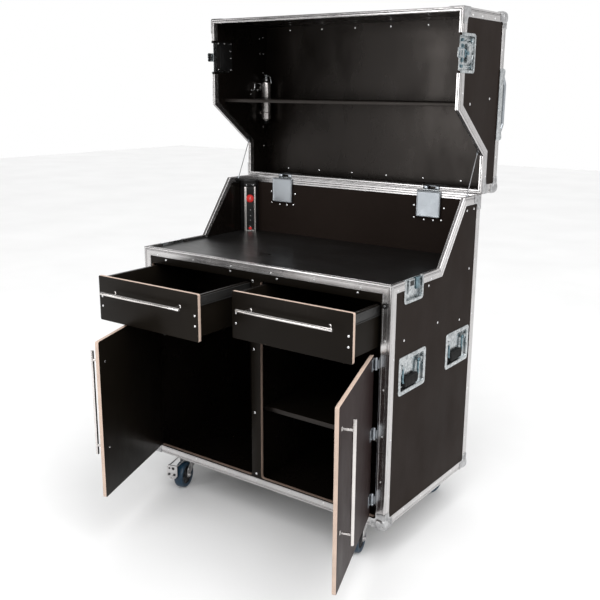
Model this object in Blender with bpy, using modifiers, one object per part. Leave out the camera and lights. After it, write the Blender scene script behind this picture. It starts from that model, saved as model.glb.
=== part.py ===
"""A rolling flight case that opens into a serving counter.

Plywood panels in an aluminium edge frame, a sloped parting line with a lid
that folds back on two hinges and hangs on two stays, two drawers over two
door compartments, a corner power column, recessed side handles, lid latches,
bow handles on the lid and four swivel castors.

All positions below are measured from the lower front left corner of the case
body: X to the right, Y to the back, Z up, in metres. The "case" empty then
sets that corner so that the origin lies on the ground under the middle of
the whole object as it stands open.
"""

import math

import bmesh
import bpy
from mathutils import Matrix, Vector

# ---------------------------------------------------------------- dimensions
W = 1.040                 # body width
D = 0.600                 # body depth
HF = 0.800                # height of the body at the front
HC = 1.013                # height of the body at the back
YS = 0.314                # where the parting line starts to climb
YT = 0.470                # where it is level again
LR = 0.124                # lid height over the back of the body
RIM_GAP = 0.0008          # between body and lid when closed
AL = 0.0017               # aluminium sheet
GAP = 0.0003              # between neighbouring pieces
PIN = AL + GAP            # outer face of the panels, in from the body's face
PLY = 0.009               # case panels
BOARD = 0.012             # front, doors, drawers, shelves
EDGE = 0.030              # width of the edge strips
LIP = 0.014               # aluminium over the rims
X_C, Y_C = 0.58538, 0.16245  # middle of the open case's footprint
CASTOR_H = 0.130

INNER = PIN + PLY + GAP   # where the inside starts, from an outer face

TOP_Z = 0.790             # counter surface
TOP_T = 0.018

LID_OPEN = 90.0           # degrees from closed to the open rest pose
DOOR_L_OPEN = 69.4
DOOR_R_OPEN = 110.0
DRAWER_L_OUT = 0.255
DRAWER_R_OUT = 0.149

DOOR_X = ((0.0385, 0.4975), (0.5425, 1.0015))
DOOR_Z = (0.0370, 0.5780)
DOOR_PIVOT = ((0.0437, -0.0055), (0.9963, -0.0055))
HINGE_Z = (0.098, 0.322, 0.551)
FRONT_Z = (0.5855, 0.7410)
FRONT_X = ((0.0400, 0.4960), (0.5440, 1.0000))
BOX_X = ((0.0475, 0.4885), (0.5515, 0.9925))
BOX_Z = (0.600, 0.735)
BOX_DEPTH = 0.460
RAIL_Z = (0.694, 0.739)
DIV_X = (0.514, 0.526)
SHELF_Z = (0.272, 0.288)
OPEN_X = ((0.0365, 0.4995), (0.5405, 1.0035))
OPEN_Z = (0.0340, 0.7435)

HANDLE_Y = (0.149, 0.472)
HANDLE_Z = 0.494
DISH_FLANGE = (0.176, 0.127)
DISH_PAN = (0.150, 0.100)
DISH_DEEP = 0.0138
BAIL_Z = 0.520
BAIL_DROP = 0.056
BAIL_HALF = 0.0500
BAIL_IN = 0.0072          # bail axis, in from the body's side

LATCH_Y = 0.139
LATCH_W = 0.122
KEEPER_H = 0.0755
LATCH_H = 0.100
LATCH_DEEP = 0.0088

HINGE_X = (0.1925, 0.8475)
HINGE_NOTCH = 0.033
KNUCKLE_R = 0.0050
COVER_W, COVER_H = 0.095, 0.083

LID_SHELF_Y = (0.292, 0.304)
LID_SHELF_Z = 0.859

BAR_OUT = 0.034           # bar handle axis, out from the face
BAR_R = 0.0052
BAR_LEN = 0.362
POST_GAP = 0.299

CASTORS = (
    ("front_left", 0.121, 0.075, -74.0),
    ("front_right", 0.911, 0.075, -76.0),
    ("rear_left", 0.121, 0.525, 62.0),
    ("rear_right", 0.911, 0.525, 78.0),
)
WHEEL_R, WHEEL_W, WHEEL_N = 0.050, 0.036, 40
TRAIL = 0.042
AXLE_Z = -CASTOR_H + WHEEL_R * math.cos(math.pi / WHEEL_N)

STAY_BASE = (0.0175, 0.515, 1.001)
STAY_LID = (0.0175, 0.451, 1.003)   # with the lid shut
STAY_R = 0.0020

# ------------------------------------------------------------------ clearing
for old in list(bpy.data.objects):
    bpy.data.objects.remove(old, do_unlink=True)

parts = bpy.data.collections.new("coffee_bar_flight_case")
tools = bpy.data.collections.new("cutters")
bpy.context.scene.collection.children.link(parts)
bpy.context.scene.collection.children.link(tools)


# ----------------------------------------------------------------- materials
def material(name, rgb, roughness, metallic):
    made = bpy.data.materials.new(name)
    made.use_nodes = True
    shader = made.node_tree.nodes["Principled BSDF"]
    shader.inputs["Base Color"].default_value = (*rgb, 1.0)
    shader.inputs["Roughness"].default_value = roughness
    shader.inputs["Metallic"].default_value = metallic
    return made


PLY_BLACK = material("laminated_ply", (0.022, 0.019, 0.018), 0.45, 0.0)
COUNTER = material("counter_laminate", (0.012, 0.011, 0.011), 0.35, 0.0)
EDGE_AL = material("edge_aluminium", (0.60, 0.58, 0.57), 0.32, 1.0)
ZINC = material("zinc_plate", (0.45, 0.50, 0.52), 0.35, 1.0)
NICKEL = material("nickel_plate", (0.52, 0.50, 0.48), 0.28, 1.0)
BAR = material("brushed_bar", (0.55, 0.51, 0.49), 0.30, 1.0)
COLUMN = material("column_aluminium", (0.42, 0.42, 0.43), 0.40, 1.0)
RED = material("switch_red", (0.60, 0.03, 0.02), 0.35, 0.0)
BLUE = material("wheel_blue", (0.01, 0.10, 0.22), 0.40, 0.0)
RUNNER = material("runner_steel", (0.35, 0.35, 0.36), 0.38, 1.0)
CABLE = material("stay_cable", (0.30, 0.30, 0.31), 0.40, 1.0)

# --------------------------------------------------------------- frames
ORIGIN = {}


def pivot(name, at, parent=None, turn=(0.0, 0.0, 0.0), shift=(0.0, 0.0, 0.0)):
    """An empty at a point of the closed case, which its pieces turn or slide with."""
    empty = bpy.data.objects.new(name, None)
    empty.empty_display_size = 0.05
    parts.objects.link(empty)
    ORIGIN[name] = Vector(at)
    if parent is None:
        empty.location = Vector(at)
    else:
        empty.parent = parent
        empty.location = Vector(at) - ORIGIN[parent.name] + Vector(shift)
    empty.rotation_euler = tuple(math.radians(a) for a in turn)
    return empty


case = bpy.data.objects.new("case", None)
parts.objects.link(case)
case.location = (-X_C, -Y_C, CASTOR_H)
ORIGIN["case"] = Vector((0.0, 0.0, 0.0))

lid_axis = pivot("lid_axis", (0.0, D, HC), case, turn=(-LID_OPEN, 0, 0))
door_axis = (
    pivot("door_axis_left", (*DOOR_PIVOT[0], 0.0), case, turn=(0, 0, -DOOR_L_OPEN)),
    pivot("door_axis_right", (*DOOR_PIVOT[1], 0.0), case, turn=(0, 0, DOOR_R_OPEN)),
)
drawer_run = (
    pivot("drawer_run_left", (0.268, 0.002, 0.66), case, shift=(0, -DRAWER_L_OUT, 0)),
    pivot("drawer_run_right", (0.772, 0.002, 0.66), case, shift=(0, -DRAWER_R_OUT, 0)),
)


# ---------------------------------------------------------- building helpers
def centre_origin(obj):
    """Moves the object's origin to the middle of its mesh, leaving the mesh in place."""
    if not obj.data.vertices:
        return
    low = Vector([min(v.co[i] for v in obj.data.vertices) for i in range(3)])
    high = Vector([max(v.co[i] for v in obj.data.vertices) for i in range(3)])
    middle = (low + high) / 2
    obj.data.transform(Matrix.Translation(-middle))
    obj.location = obj.location + middle


def place(obj, parent, paint=None, cutter=False):
    """Puts an object whose mesh is in closed-case positions under a parent."""
    (tools if cutter else parts).objects.link(obj)
    obj.parent = parent
    obj.location = -ORIGIN[parent.name]
    centre_origin(obj)
    if cutter:
        obj.hide_render = True
        obj.display_type = "WIRE"
    else:
        obj.data.materials.clear()
        obj.data.materials.append(paint)
    return obj


def finish(name, bm, parent, paint, cutter=False, bevel=0.0, smooth=False):
    bmesh.ops.recalc_face_normals(bm, faces=bm.faces)
    mesh = bpy.data.meshes.new(name)
    bm.to_mesh(mesh)
    bm.free()
    if smooth:
        mesh.shade_smooth()
        mesh.set_sharp_from_angle(angle=math.radians(35))
    obj = place(bpy.data.objects.new(name, mesh), parent, paint, cutter)
    if bevel:
        edge = obj.modifiers.new("round_edges", "BEVEL")
        edge.width = bevel
        edge.segments = 1
        edge.limit_method = "ANGLE"
        edge.angle_limit = math.radians(40)
    return obj


def add_box(bm, low, high):
    low, high = Vector(low), Vector(high)
    made = bmesh.ops.create_cube(bm, size=1.0)["verts"]
    bmesh.ops.scale(bm, vec=high - low, verts=made)
    bmesh.ops.translate(bm, vec=(high + low) / 2, verts=made)


def add_cylinder(bm, start, end, radius, sides=20, radius_end=None):
    start, end = Vector(start), Vector(end)
    along = end - start
    turn = along.to_track_quat("Z", "Y").to_matrix().to_4x4()
    made = bmesh.ops.create_cone(
        bm,
        cap_ends=True,
        segments=sides,
        radius1=radius,
        radius2=radius if radius_end is None else radius_end,
        depth=along.length,
    )["verts"]
    bmesh.ops.transform(
        bm, matrix=Matrix.Translation((start + end) / 2) @ turn, verts=made
    )


def box(name, low, high, parent, paint, bevel=0.0):
    bm = bmesh.new()
    add_box(bm, low, high)
    return finish(name, bm, parent, paint, bevel=bevel)


def rounded(x0, z0, x1, z1, r, steps=3):
    """The outline of a rectangle with round corners."""
    out = []
    for cx, cz, start in (
        (x1 - r, z0 + r, -90), (x1 - r, z1 - r, 0), (x0 + r, z1 - r, 90), (x0 + r, z0 + r, 180),
    ):
        for k in range(steps + 1):
            a = math.radians(start + 90 * k / steps)
            out.append((cx + r * math.cos(a), cz + r * math.sin(a)))
    return out


AXES = {
    "X": Matrix(((0, 0, 1, 0), (1, 0, 0, 0), (0, 1, 0, 0), (0, 0, 0, 1))),
    "Y": Matrix(((1, 0, 0, 0), (0, 0, -1, 0), (0, 1, 0, 0), (0, 0, 0, 1))),
    "Z": Matrix.Identity(4),
}


def sheet_mesh(loops, axis, low, high):
    """A flat outline, with holes, drawn as a filled curve and given its thickness.

    The outline is given as (y, z) for axis X, (x, z) for Y and (x, y) for Z."""
    curve = bpy.data.curves.new("outline", "CURVE")
    curve.dimensions = "2D"
    curve.fill_mode = "BOTH"
    curve.extrude = (high - low) / 2
    for loop in loops:
        spline = curve.splines.new("POLY")
        spline.points.add(len(loop) - 1)
        for point, (a, b) in zip(spline.points, loop):
            point.co = (a, b, 0.0, 1.0)
        spline.use_cyclic_u = True
    drawn = bpy.data.objects.new("outline", curve)
    tools.objects.link(drawn)
    bpy.context.view_layer.update()
    graph = bpy.context.evaluated_depsgraph_get()
    mesh = bpy.data.meshes.new_from_object(drawn.evaluated_get(graph))
    bpy.data.objects.remove(drawn, do_unlink=True)
    bm = bmesh.new()
    bm.from_mesh(mesh)
    bpy.data.meshes.remove(mesh)
    bmesh.ops.remove_doubles(bm, verts=bm.verts, dist=1e-6)
    middle = (low + high) / 2
    shift = {"X": (middle, 0, 0), "Y": (0, middle, 0), "Z": (0, 0, middle)}[axis]
    bmesh.ops.transform(
        bm, matrix=Matrix.Translation(shift) @ AXES[axis], verts=bm.verts
    )
    return bm


def sheet(name, loops, axis, low, high, parent, paint, cutter=False):
    return finish(name, sheet_mesh(loops, axis, low, high), parent, paint, cutter)


def join(obj, other, operation="DIFFERENCE"):
    step = obj.modifiers.new(operation.lower(), "BOOLEAN")
    step.operation = operation
    step.solver = "EXACT"
    step.object = other
    return obj


def cut_boxes(obj, parent, boxes, name):
    bm = bmesh.new()
    for low, high in boxes:
        add_box(bm, low, high)
    return join(obj, finish(name, bm, parent, None, cutter=True))


def add_shapes(obj, parent, boxes=(), cylinders=(), operation="UNION"):
    """Joins to, or cuts from, a piece each of these boxes and cylinders, one step each."""
    for k, (low, high) in enumerate(boxes):
        bm = bmesh.new()
        add_box(bm, low, high)
        join(obj, finish(f"{obj.name}_b{len(obj.modifiers)}_{k}", bm, parent, None, True), operation)
    for k, (start, end, radius, sides) in enumerate(cylinders):
        bm = bmesh.new()
        add_cylinder(bm, start, end, radius, sides)
        join(obj, finish(f"{obj.name}_c{len(obj.modifiers)}_{k}", bm, parent, None, True), operation)
    return obj


def wire(name, points, radius, parent, paint, radii=None, resolution=2):
    """A round bar that follows the points."""
    curve = bpy.data.curves.new(name, "CURVE")
    curve.dimensions = "3D"
    curve.bevel_depth = radius
    curve.bevel_resolution = resolution
    curve.use_fill_caps = True
    spline = curve.splines.new("POLY")
    spline.points.add(len(points) - 1)
    for k, (point, at) in enumerate(zip(spline.points, points)):
        point.co = (*at, 1.0)
        point.radius = radii[k] / radius if radii else 1.0
    drawn = bpy.data.objects.new("path", curve)
    tools.objects.link(drawn)
    bpy.context.view_layer.update()
    graph = bpy.context.evaluated_depsgraph_get()
    mesh = bpy.data.meshes.new_from_object(drawn.evaluated_get(graph))
    bpy.data.objects.remove(drawn, do_unlink=True)
    bm = bmesh.new()
    bm.from_mesh(mesh)
    bpy.data.meshes.remove(mesh)
    bmesh.ops.remove_doubles(bm, verts=bm.verts, dist=1e-6)
    return finish(name, bm, parent, paint, smooth=True)


def bend(corner, before, after, radius, steps=4):
    """Points of a round bend at a corner between two other points."""
    corner, before, after = Vector(corner), Vector(before), Vector(after)
    a, b = (before - corner).normalized(), (after - corner).normalized()
    half = a.angle(b) / 2
    reach = radius / math.tan(half)
    centre = corner + (a + b).normalized() * (radius / math.sin(half))
    start, end = corner + a * reach - centre, corner + b * reach - centre
    out = []
    for k in range(steps + 1):
        out.append(centre + start.normalized().slerp(end.normalized(), k / steps) * radius)
    return out


def profile(front, back, low, high, inset, y_in=None):
    """The case side's outline, (y, z), offset inwards.

    front and back are the heights of the parting line, low is True for the
    body below that line and False for the lid above it."""
    slope = math.atan2(back - front, YT - YS)
    shift = inset * math.tan(slope / 2)
    y0 = inset if y_in is None else y_in
    if low:
        f, b = front - inset, back - inset
        return [
            (y0, inset), (D - y0, inset), (D - y0, b),
            (YT + shift, b), (YS + shift, f), (y0, f),
        ]
    f, b = front + inset, back + inset
    return [
        (y0, f), (YS - shift, f), (YT - shift, b), (D - y0, b),
        (D - y0, high - inset), (y0, high - inset),
    ]


def body_profile(inset):
    return profile(HF, HC, True, 0.0, inset)


def lid_profile(inset):
    return profile(HF + RIM_GAP, HC + RIM_GAP, False, HC + LR, inset)


def side_x(side, near, far):
    """A span given in from a side's outer face, as an x range on that side."""
    return (near, far) if side == "left" else (W - far, W - near)


SIDES = ("left", "right")

# =============================================================== body panels
for side in SIDES:
    x0, x1 = side_x(side, PIN, PIN + PLY)
    panel = sheet(
        f"side_panel_{side}", [body_profile(PIN)], "X", x0, x1, case, PLY_BLACK
    )
    holes = []
    for y in HANDLE_Y:
        a, b = DISH_PAN[0] / 2 + 0.0006, DISH_PAN[1] / 2 + 0.0006
        holes.append(((x0 - 0.01, y - a, HANDLE_Z - b), (x1 + 0.01, y + a, HANDLE_Z + b)))
    holes.append(
        (
            (x0 - 0.01, LATCH_Y - LATCH_W / 2 + 0.006, HF - KEEPER_H + 0.006),
            (x1 + 0.01, LATCH_Y + LATCH_W / 2 - 0.006, HF + 0.02),
        )
    )
    cut_boxes(panel, case, holes, f"side_{side}_holes")

back = sheet(
    "back_panel",
    [[(INNER, PIN), (W - INNER, PIN), (W - INNER, HC - PIN), (INNER, HC - PIN)]],
    "Y", D - PIN - PLY, D - PIN, case, PLY_BLACK,
)
cut_boxes(
    back, case,
    [((c - HINGE_NOTCH, D - 0.03, HC - 0.0135), (c + HINGE_NOTCH, D + 0.01, HC + 0.01)) for c in HINGE_X],
    "back_notches",
)

bottom = box(
    "bottom_panel",
    (INNER, PIN + BOARD + GAP, PIN), (W - INNER, D - INNER, PIN + BOARD), case, PLY_BLACK,
)
add_shapes(
    bottom, case,
    boxes=[
        ((x - 0.050, y - 0.043, -0.0035), (x + 0.050, y + 0.043, 0.006))
        for _, x, y, _ in CASTORS
    ],
)

worktop = box(
    "worktop",
    (INNER, PIN + BOARD + GAP, TOP_Z - TOP_T), (W - INNER, D - INNER, TOP_Z), case, COUNTER,
)

front_frame = sheet(
    "front_frame",
    [
        [(INNER, PIN), (W - INNER, PIN), (W - INNER, HF - PIN), (INNER, HF - PIN)],
        rounded(OPEN_X[0][0], OPEN_Z[0], OPEN_X[0][1], OPEN_Z[1], 0.009),
        rounded(OPEN_X[1][0], OPEN_Z[0], OPEN_X[1][1], OPEN_Z[1], 0.009),
    ],
    "Y", PIN, PIN + BOARD, case, PLY_BLACK,
)

box(
    "centre_divider",
    (DIV_X[0], PIN + BOARD + GAP, PIN + BOARD + GAP),
    (DIV_X[1], D - INNER, TOP_Z - TOP_T - GAP), case, PLY_BLACK,
)
box(
    "shelf_right",
    (DIV_X[1] + GAP, 0.045, SHELF_Z[0]), (W - INNER, D - INNER, SHELF_Z[1]), case, PLY_BLACK,
)

# ======================================================= aluminium edge frame


def latch_cut(zlow, zhigh):
    found = []
    for x0, x1 in ((-0.01, 0.0155), (W - 0.0155, W + 0.01)):
        found.append(((x0, LATCH_Y - LATCH_W / 2 - GAP, zlow), (x1, LATCH_Y + LATCH_W / 2 + GAP, zhigh)))
    return found


frame = sheet("base_edge_frame", [body_profile(0.0)], "X", 0.0, W, case, EDGE_AL)
join(frame, sheet("frame_core", [body_profile(AL)], "X", AL, W - AL, case, None, True))
join(frame, sheet("frame_sides", [body_profile(EDGE)], "X", -0.02, W + 0.02, case, None, True))
cut_boxes(
    frame, case,
    [
        ((0.033, -0.02, 0.030), (W - 0.033, 0.0150, 0.770)),
        ((EDGE, D - 0.02, EDGE), (W - EDGE, D + 0.02, HC - EDGE)),
        ((EDGE, EDGE, -0.02), (W - EDGE, D - EDGE, 0.010)),
    ],
    "frame_windows",
)
cut_boxes(frame, case, [((LIP, LIP, HF - 0.035), (W - LIP, D - LIP, HC + 0.05))], "frame_mouth")
cut_boxes(
    frame, case,
    latch_cut(HF - KEEPER_H - GAP, HF + 0.01)
    + [((c - HINGE_NOTCH, D - 0.03, HC - 0.0135), (c + HINGE_NOTCH, D + 0.01, HC + 0.01)) for c in HINGE_X],
    "frame_cuts",
)

# ================================================================ body hinges
for side, c in zip(SIDES, HINGE_X):
    hinge = box(
        f"hinge_{side}_base",
        (c - COVER_W / 2, D - INNER - 0.0100, HC - 0.013 - COVER_H),
        (c + COVER_W / 2, D - INNER, HC - 0.013), case, NICKEL,
    )
    add_shapes(
        hinge, case,
        boxes=[
            ((c - 0.0150, D - INNER - 0.0090, HC - 0.0128), (c + 0.0150, D - 0.0005, HC - 0.0012)),
            ((c - 0.0150, D - INNER - 0.0088, HC - 0.0200), (c + 0.0150, D - INNER - 0.0005, HC - 0.0030)),
        ],
        cylinders=[((c - 0.0150, D, HC), (c + 0.0150, D, HC), KNUCKLE_R, 16)],
    )

# ============================================================== side handles
for side in SIDES:
    sign = -1 if side == "left" else 1
    for where, y in zip(("front", "rear"), HANDLE_Y):
        fa, fb = side_x(side, 0.0002, AL)
        fl = rounded(
            y - DISH_FLANGE[0] / 2, HANDLE_Z - DISH_FLANGE[1] / 2,
            y + DISH_FLANGE[0] / 2, HANDLE_Z + DISH_FLANGE[1] / 2, 0.010,
        )
        dish = sheet(f"handle_dish_{side}_{where}", [fl], "X", fa, fb, case, ZINC)
        pa, pb = DISH_PAN[0] / 2, DISH_PAN[1] / 2
        ox = side_x(side, 0.0008, AL + DISH_DEEP + 0.0012)
        join(
            dish,
            sheet(f"dish_{side}_{where}_out", [rounded(y - pa, HANDLE_Z - pb, y + pa, HANDLE_Z + pb, 0.006)],
                  "X", ox[0], ox[1], case, None, True),
            "UNION",
        )
        ix = side_x(side, -0.02, AL + DISH_DEEP)
        join(
            dish,
            sheet(f"dish_{side}_{where}_in",
                  [rounded(y - pa + 0.0012, HANDLE_Z - pb + 0.0012, y + pa - 0.0012, HANDLE_Z + pb - 0.0012, 0.005)],
                  "X", ix[0], ix[1], case, None, True),
        )
        ex = side_x(side, 0.0010, AL + DISH_DEEP + 0.0008)
        ears = [
            ((ex[0], y + s * (BAIL_HALF + 0.0090) - 0.0015, BAIL_Z - 0.0085),
             (ex[1], y + s * (BAIL_HALF + 0.0090) + 0.0015, BAIL_Z + 0.0085))
            for s in (-1, 1)
        ]
        add_shapes(dish, case, boxes=ears)
        ax = BAIL_IN if side == "left" else W - BAIL_IN
        add_shapes(
            dish, case, operation="DIFFERENCE",
            cylinders=[((ax, y - 0.068, BAIL_Z), (ax, y + 0.068, BAIL_Z), 0.0044, 16)],
        )
        hang = pivot(f"bail_axis_{side}_{where}", (ax, y, BAIL_Z), case)
        low = BAIL_Z - BAIL_DROP
        top_l, top_r = (ax, y - BAIL_HALF - 0.0125, BAIL_Z), (ax, y + BAIL_HALF + 0.0125, BAIL_Z)
        c1, c2 = (ax, y - BAIL_HALF, BAIL_Z), (ax, y - BAIL_HALF, low)
        c3, c4 = (ax, y + BAIL_HALF, low), (ax, y + BAIL_HALF, BAIL_Z)
        path = [Vector(top_l)]
        path += bend(c1, top_l, c2, 0.0052, 3) + bend(c2, c1, c3, 0.010, 3)
        radii = [0.0038] * len(path)
        grip = 0.0375
        for dy, r in ((-grip, 0.0038), (-grip + 0.0004, 0.0068), (grip - 0.0004, 0.0068), (grip, 0.0038)):
            path.append(Vector((ax, y + dy, low)))
            radii.append(r)
        tail = bend(c3, c2, c4, 0.010, 3) + bend(c4, c3, top_r, 0.0052, 3) + [Vector(top_r)]
        path += tail
        radii += [0.0038] * len(tail)
        wire(f"handle_bail_{side}_{where}", path, 0.0038, hang, ZINC, radii)

# ============================================================= latch keepers
for side in SIDES:
    fx = side_x(side, 0.0, AL)
    z0 = HF - KEEPER_H
    keeper = box(
        f"latch_keeper_{side}",
        (fx[0], LATCH_Y - LATCH_W / 2, z0), (fx[1], LATCH_Y + LATCH_W / 2, HF), case, ZINC,
    )
    px = side_x(side, 0.0008, LATCH_DEEP + 0.0012)
    a = LATCH_W / 2 - 0.0066
    add_shapes(keeper, case, boxes=[((px[0], LATCH_Y - a, z0 + 0.0066), (px[1], LATCH_Y + a, HF))])
    ix = side_x(side, -0.02, LATCH_DEEP)
    add_shapes(
        keeper, case, operation="DIFFERENCE",
        boxes=[((ix[0], LATCH_Y - a + 0.0012, z0 + 0.0078), (ix[1], LATCH_Y + a - 0.0012, HF + 0.02))],
    )
    # the bar that the lid's hook draws against
    rx = side_x(side, 0.0050, LATCH_DEEP + 0.0006)
    add_shapes(keeper, case, boxes=[((rx[0], LATCH_Y - 0.022, HF - 0.0300), (rx[1], LATCH_Y + 0.022, HF - 0.0255))])

# ============================================================= power column
COLUMN_PLAN = [(0.0117, 0.533), (0.041, 0.527), (0.0727, 0.5587), (0.0667, 0.5880), (0.0117, 0.5880)]
tower = sheet("power_column", [COLUMN_PLAN], "Z", TOP_Z + 0.0005, 0.999, case, COLUMN)
face_mid = Vector(((0.041 + 0.0727) / 2, (0.527 + 0.5587) / 2, 0.924))
face_out = Vector((1.0, -1.0, 0.0)).normalized()
add_shapes(
    tower, case, operation="DIFFERENCE",
    cylinders=[(face_mid - face_out * 0.0080, face_mid + face_out * 0.02, 0.0088, 20)],
)
switch_axis = pivot("switch_axis", face_mid, case)
bm = bmesh.new()
add_cylinder(bm, face_mid - face_out * 0.0048, face_mid + face_out * 0.0022, 0.0083, 20)
finish("power_switch", bm, switch_axis, RED)

# ============================================================ drawer runners
for k, side in enumerate(SIDES):
    if k == 0:
        outer, inner, out_in, in_in = INNER, DIV_X[0] - GAP, 0.0400, 0.4960
    else:
        outer, inner, out_in, in_in = W - INNER, DIV_X[1] + GAP, 1.0000, 0.5440
    cradle = [
        (outer, 0.020), (out_in, 0.020), (out_in, 0.5150), (in_in, 0.5150),
        (in_in, 0.020), (inner, 0.020), (inner, 0.5250), (outer, 0.5250),
    ]
    sheet(f"drawer_runners_{side}", [cradle], "Z", RAIL_Z[0], RAIL_Z[1], case, RUNNER)

# ==================================================================== drawers
for k, side in enumerate(SIDES):
    run = drawer_run[k]
    sheet(
        f"drawer_front_{side}",
        [rounded(FRONT_X[k][0], FRONT_Z[0], FRONT_X[k][1], FRONT_Z[1], 0.005)],
        "Y", PIN, PIN + BOARD, run, PLY_BLACK,
    )
    x0, x1 = BOX_X[k]
    y0, y1 = PIN + BOARD + GAP, PIN + BOARD + GAP + BOX_DEPTH
    tray = box(f"drawer_box_{side}", (x0, y0, BOX_Z[0]), (x1, y1, BOX_Z[1]), run, PLY_BLACK)
    cut_boxes(
        tray, run,
        [((x0 + BOARD, y0 + BOARD, BOX_Z[0] + 0.009), (x1 - BOARD, y1 - BOARD, BOX_Z[1] + 0.05))],
        f"drawer_{side}_inside",
    )


# ================================================================ bar handles
def bar_handle(name, middle, along, parent, face_y):
    """A straight round bar on two posts that stand on a face at y = face_y."""
    middle, along = Vector(middle), Vector(along)
    bar_at = Vector((middle.x, face_y - BAR_OUT, middle.z))
    bm = bmesh.new()
    add_cylinder(bm, bar_at - along * BAR_LEN / 2, bar_at + along * BAR_LEN / 2, BAR_R, 12)
    handle = finish(name, bm, parent, BAR, smooth=True)
    add_shapes(
        handle, parent,
        cylinders=[
            (
                Vector((middle.x, face_y - GAP, middle.z)) + along * s * POST_GAP / 2,
                bar_at + along * s * POST_GAP / 2 + Vector((0, 0.0005, 0)),
                0.0042, 10,
            )
            for s in (-1, 1)
        ],
    )
    return handle


bar_handle("drawer_handle_left", (0.268, 0, 0.691), (1, 0, 0), drawer_run[0], PIN)
bar_handle("drawer_handle_right", (0.770, 0, 0.690), (1, 0, 0), drawer_run[1], PIN)

# ====================================================================== doors
for k, side in enumerate(SIDES):
    sheet(
        f"door_{side}",
        [rounded(DOOR_X[k][0], DOOR_Z[0], DOOR_X[k][1], DOOR_Z[1], 0.006)],
        "Y", PIN, PIN + BOARD, door_axis[k], PLY_BLACK,
    )
    # hinge leaf down the face frame, with a barrel at each hinge
    sx = 1 if k else -1
    px, py = DOOR_PIVOT[k]
    lx = sorted((px + sx * 0.0082, px + sx * 0.0104))
    strip = box(
        f"door_hinges_{side}",
        (lx[0], -0.0012, HINGE_Z[0] - 0.020), (lx[1], PIN - GAP, HINGE_Z[-1] + 0.020), case, NICKEL,
    )
    arms = []
    barrels = []
    for z in HINGE_Z:
        ax0, ax1 = sorted((px, px + sx * 0.0098))
        arms.append(((ax0, py - 0.0035, z - 0.0140), (ax1, py + 0.0048, z + 0.0140)))
        barrels.append(((px, py, z - 0.0145), (px, py, z + 0.0145), 0.0055, 14))
    add_shapes(strip, case, boxes=arms, cylinders=barrels)
bar_handle("door_handle_left", (0.458, 0, 0.353), (0, 0, 1), door_axis[0], PIN)
bar_handle("door_handle_right", (0.574, 0, 0.359), (0, 0, 1), door_axis[1], PIN)

# ======================================================================== lid
for side in SIDES:
    x0, x1 = side_x(side, PIN, PIN + PLY)
    panel = sheet(f"lid_side_{side}", [lid_profile(PIN)], "X", x0, x1, lid_axis, PLY_BLACK)
    cut_boxes(
        panel, lid_axis,
        [
            (
                (x0 - 0.01, LATCH_Y - LATCH_W / 2 + 0.006, HF - 0.02),
                (x1 + 0.01, LATCH_Y + LATCH_W / 2 - 0.006, HF + RIM_GAP + LATCH_H - 0.006),
            )
        ],
        f"lid_side_{side}_hole",
    )
LID_TOP = HC + LR
RIM_F, RIM_C = HF + RIM_GAP, HC + RIM_GAP
box(
    "lid_top_panel",
    (INNER, INNER, LID_TOP - PIN - PLY), (W - INNER, D - INNER, LID_TOP - PIN), lid_axis, PLY_BLACK,
)
box(
    "lid_front_panel",
    (INNER, PIN, RIM_F + PIN), (W - INNER, PIN + PLY, LID_TOP - PIN), lid_axis, PLY_BLACK,
)
lid_rear = box(
    "lid_rear_panel",
    (INNER, D - PIN - PLY, RIM_C + PIN), (W - INNER, D - PIN, LID_TOP - PIN), lid_axis, PLY_BLACK,
)
notches = [
    ((c - HINGE_NOTCH, D - 0.03, HC - 0.01), (c + HINGE_NOTCH, D + 0.01, HC + 0.0135))
    for c in HINGE_X
]
cut_boxes(lid_rear, lid_axis, notches, "lid_rear_notches")
box(
    "lid_shelf",
    (INNER, LID_SHELF_Y[0], LID_SHELF_Z), (W - INNER, LID_SHELF_Y[1], LID_TOP - INNER),
    lid_axis, PLY_BLACK,
)

lid_frame = sheet("lid_edge_frame", [lid_profile(0.0)], "X", 0.0, W, lid_axis, EDGE_AL)
join(lid_frame, sheet("lid_core", [lid_profile(AL)], "X", AL, W - AL, lid_axis, None, True))
join(lid_frame, sheet("lid_windows_x", [lid_profile(EDGE)], "X", -0.02, W + 0.02, lid_axis, None, True))
cut_boxes(
    lid_frame, lid_axis,
    [
        ((EDGE, -0.02, RIM_F + EDGE), (W - EDGE, 0.02, LID_TOP - EDGE)),
        ((EDGE, D - 0.02, RIM_C + EDGE), (W - EDGE, D + 0.02, LID_TOP - EDGE)),
        ((EDGE, EDGE, LID_TOP - 0.02), (W - EDGE, D - EDGE, LID_TOP + 0.02)),
    ],
    "lid_frame_windows",
)
cut_boxes(
    lid_frame, lid_axis,
    [((LIP, LIP, HF - 0.05), (W - LIP, D - LIP, HC + 0.035))], "lid_mouth",
)
cut_boxes(
    lid_frame, lid_axis, latch_cut(HF - 0.02, RIM_F + LATCH_H + GAP) + notches, "lid_frame_cuts"
)

# lid hinge leaves and their knuckles, riveted up with the frame's rear edge
for c in HINGE_X:
    arms, knuckles = [], []
    for s in (-1, 1):
        xa, xb = c + s * 0.0230 - 0.0072, c + s * 0.0230 + 0.0072
        arms.append(((xa, D - INNER - 0.0025, HC + 0.0012), (xb, D - 0.0003, HC + 0.0125)))
        arms.append(((xa, D - INNER - 0.0024, HC + 0.0100), (xb, D - INNER - 0.0002, HC + 0.0180)))
        arms.append(((xa + 0.001, D - 0.0014, HC + 0.0100), (xb - 0.001, D - 0.0005, HC + 0.0175)))
        knuckles.append(((xa, D, HC), (xb, D, HC), KNUCKLE_R, 16))
    arms.append(((c - 0.0420, D - INNER - 0.0025, HC + 0.0140), (c + 0.0420, D - INNER, HC + 0.0640)))
    add_shapes(lid_frame, lid_axis, boxes=arms, cylinders=knuckles)

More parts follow.
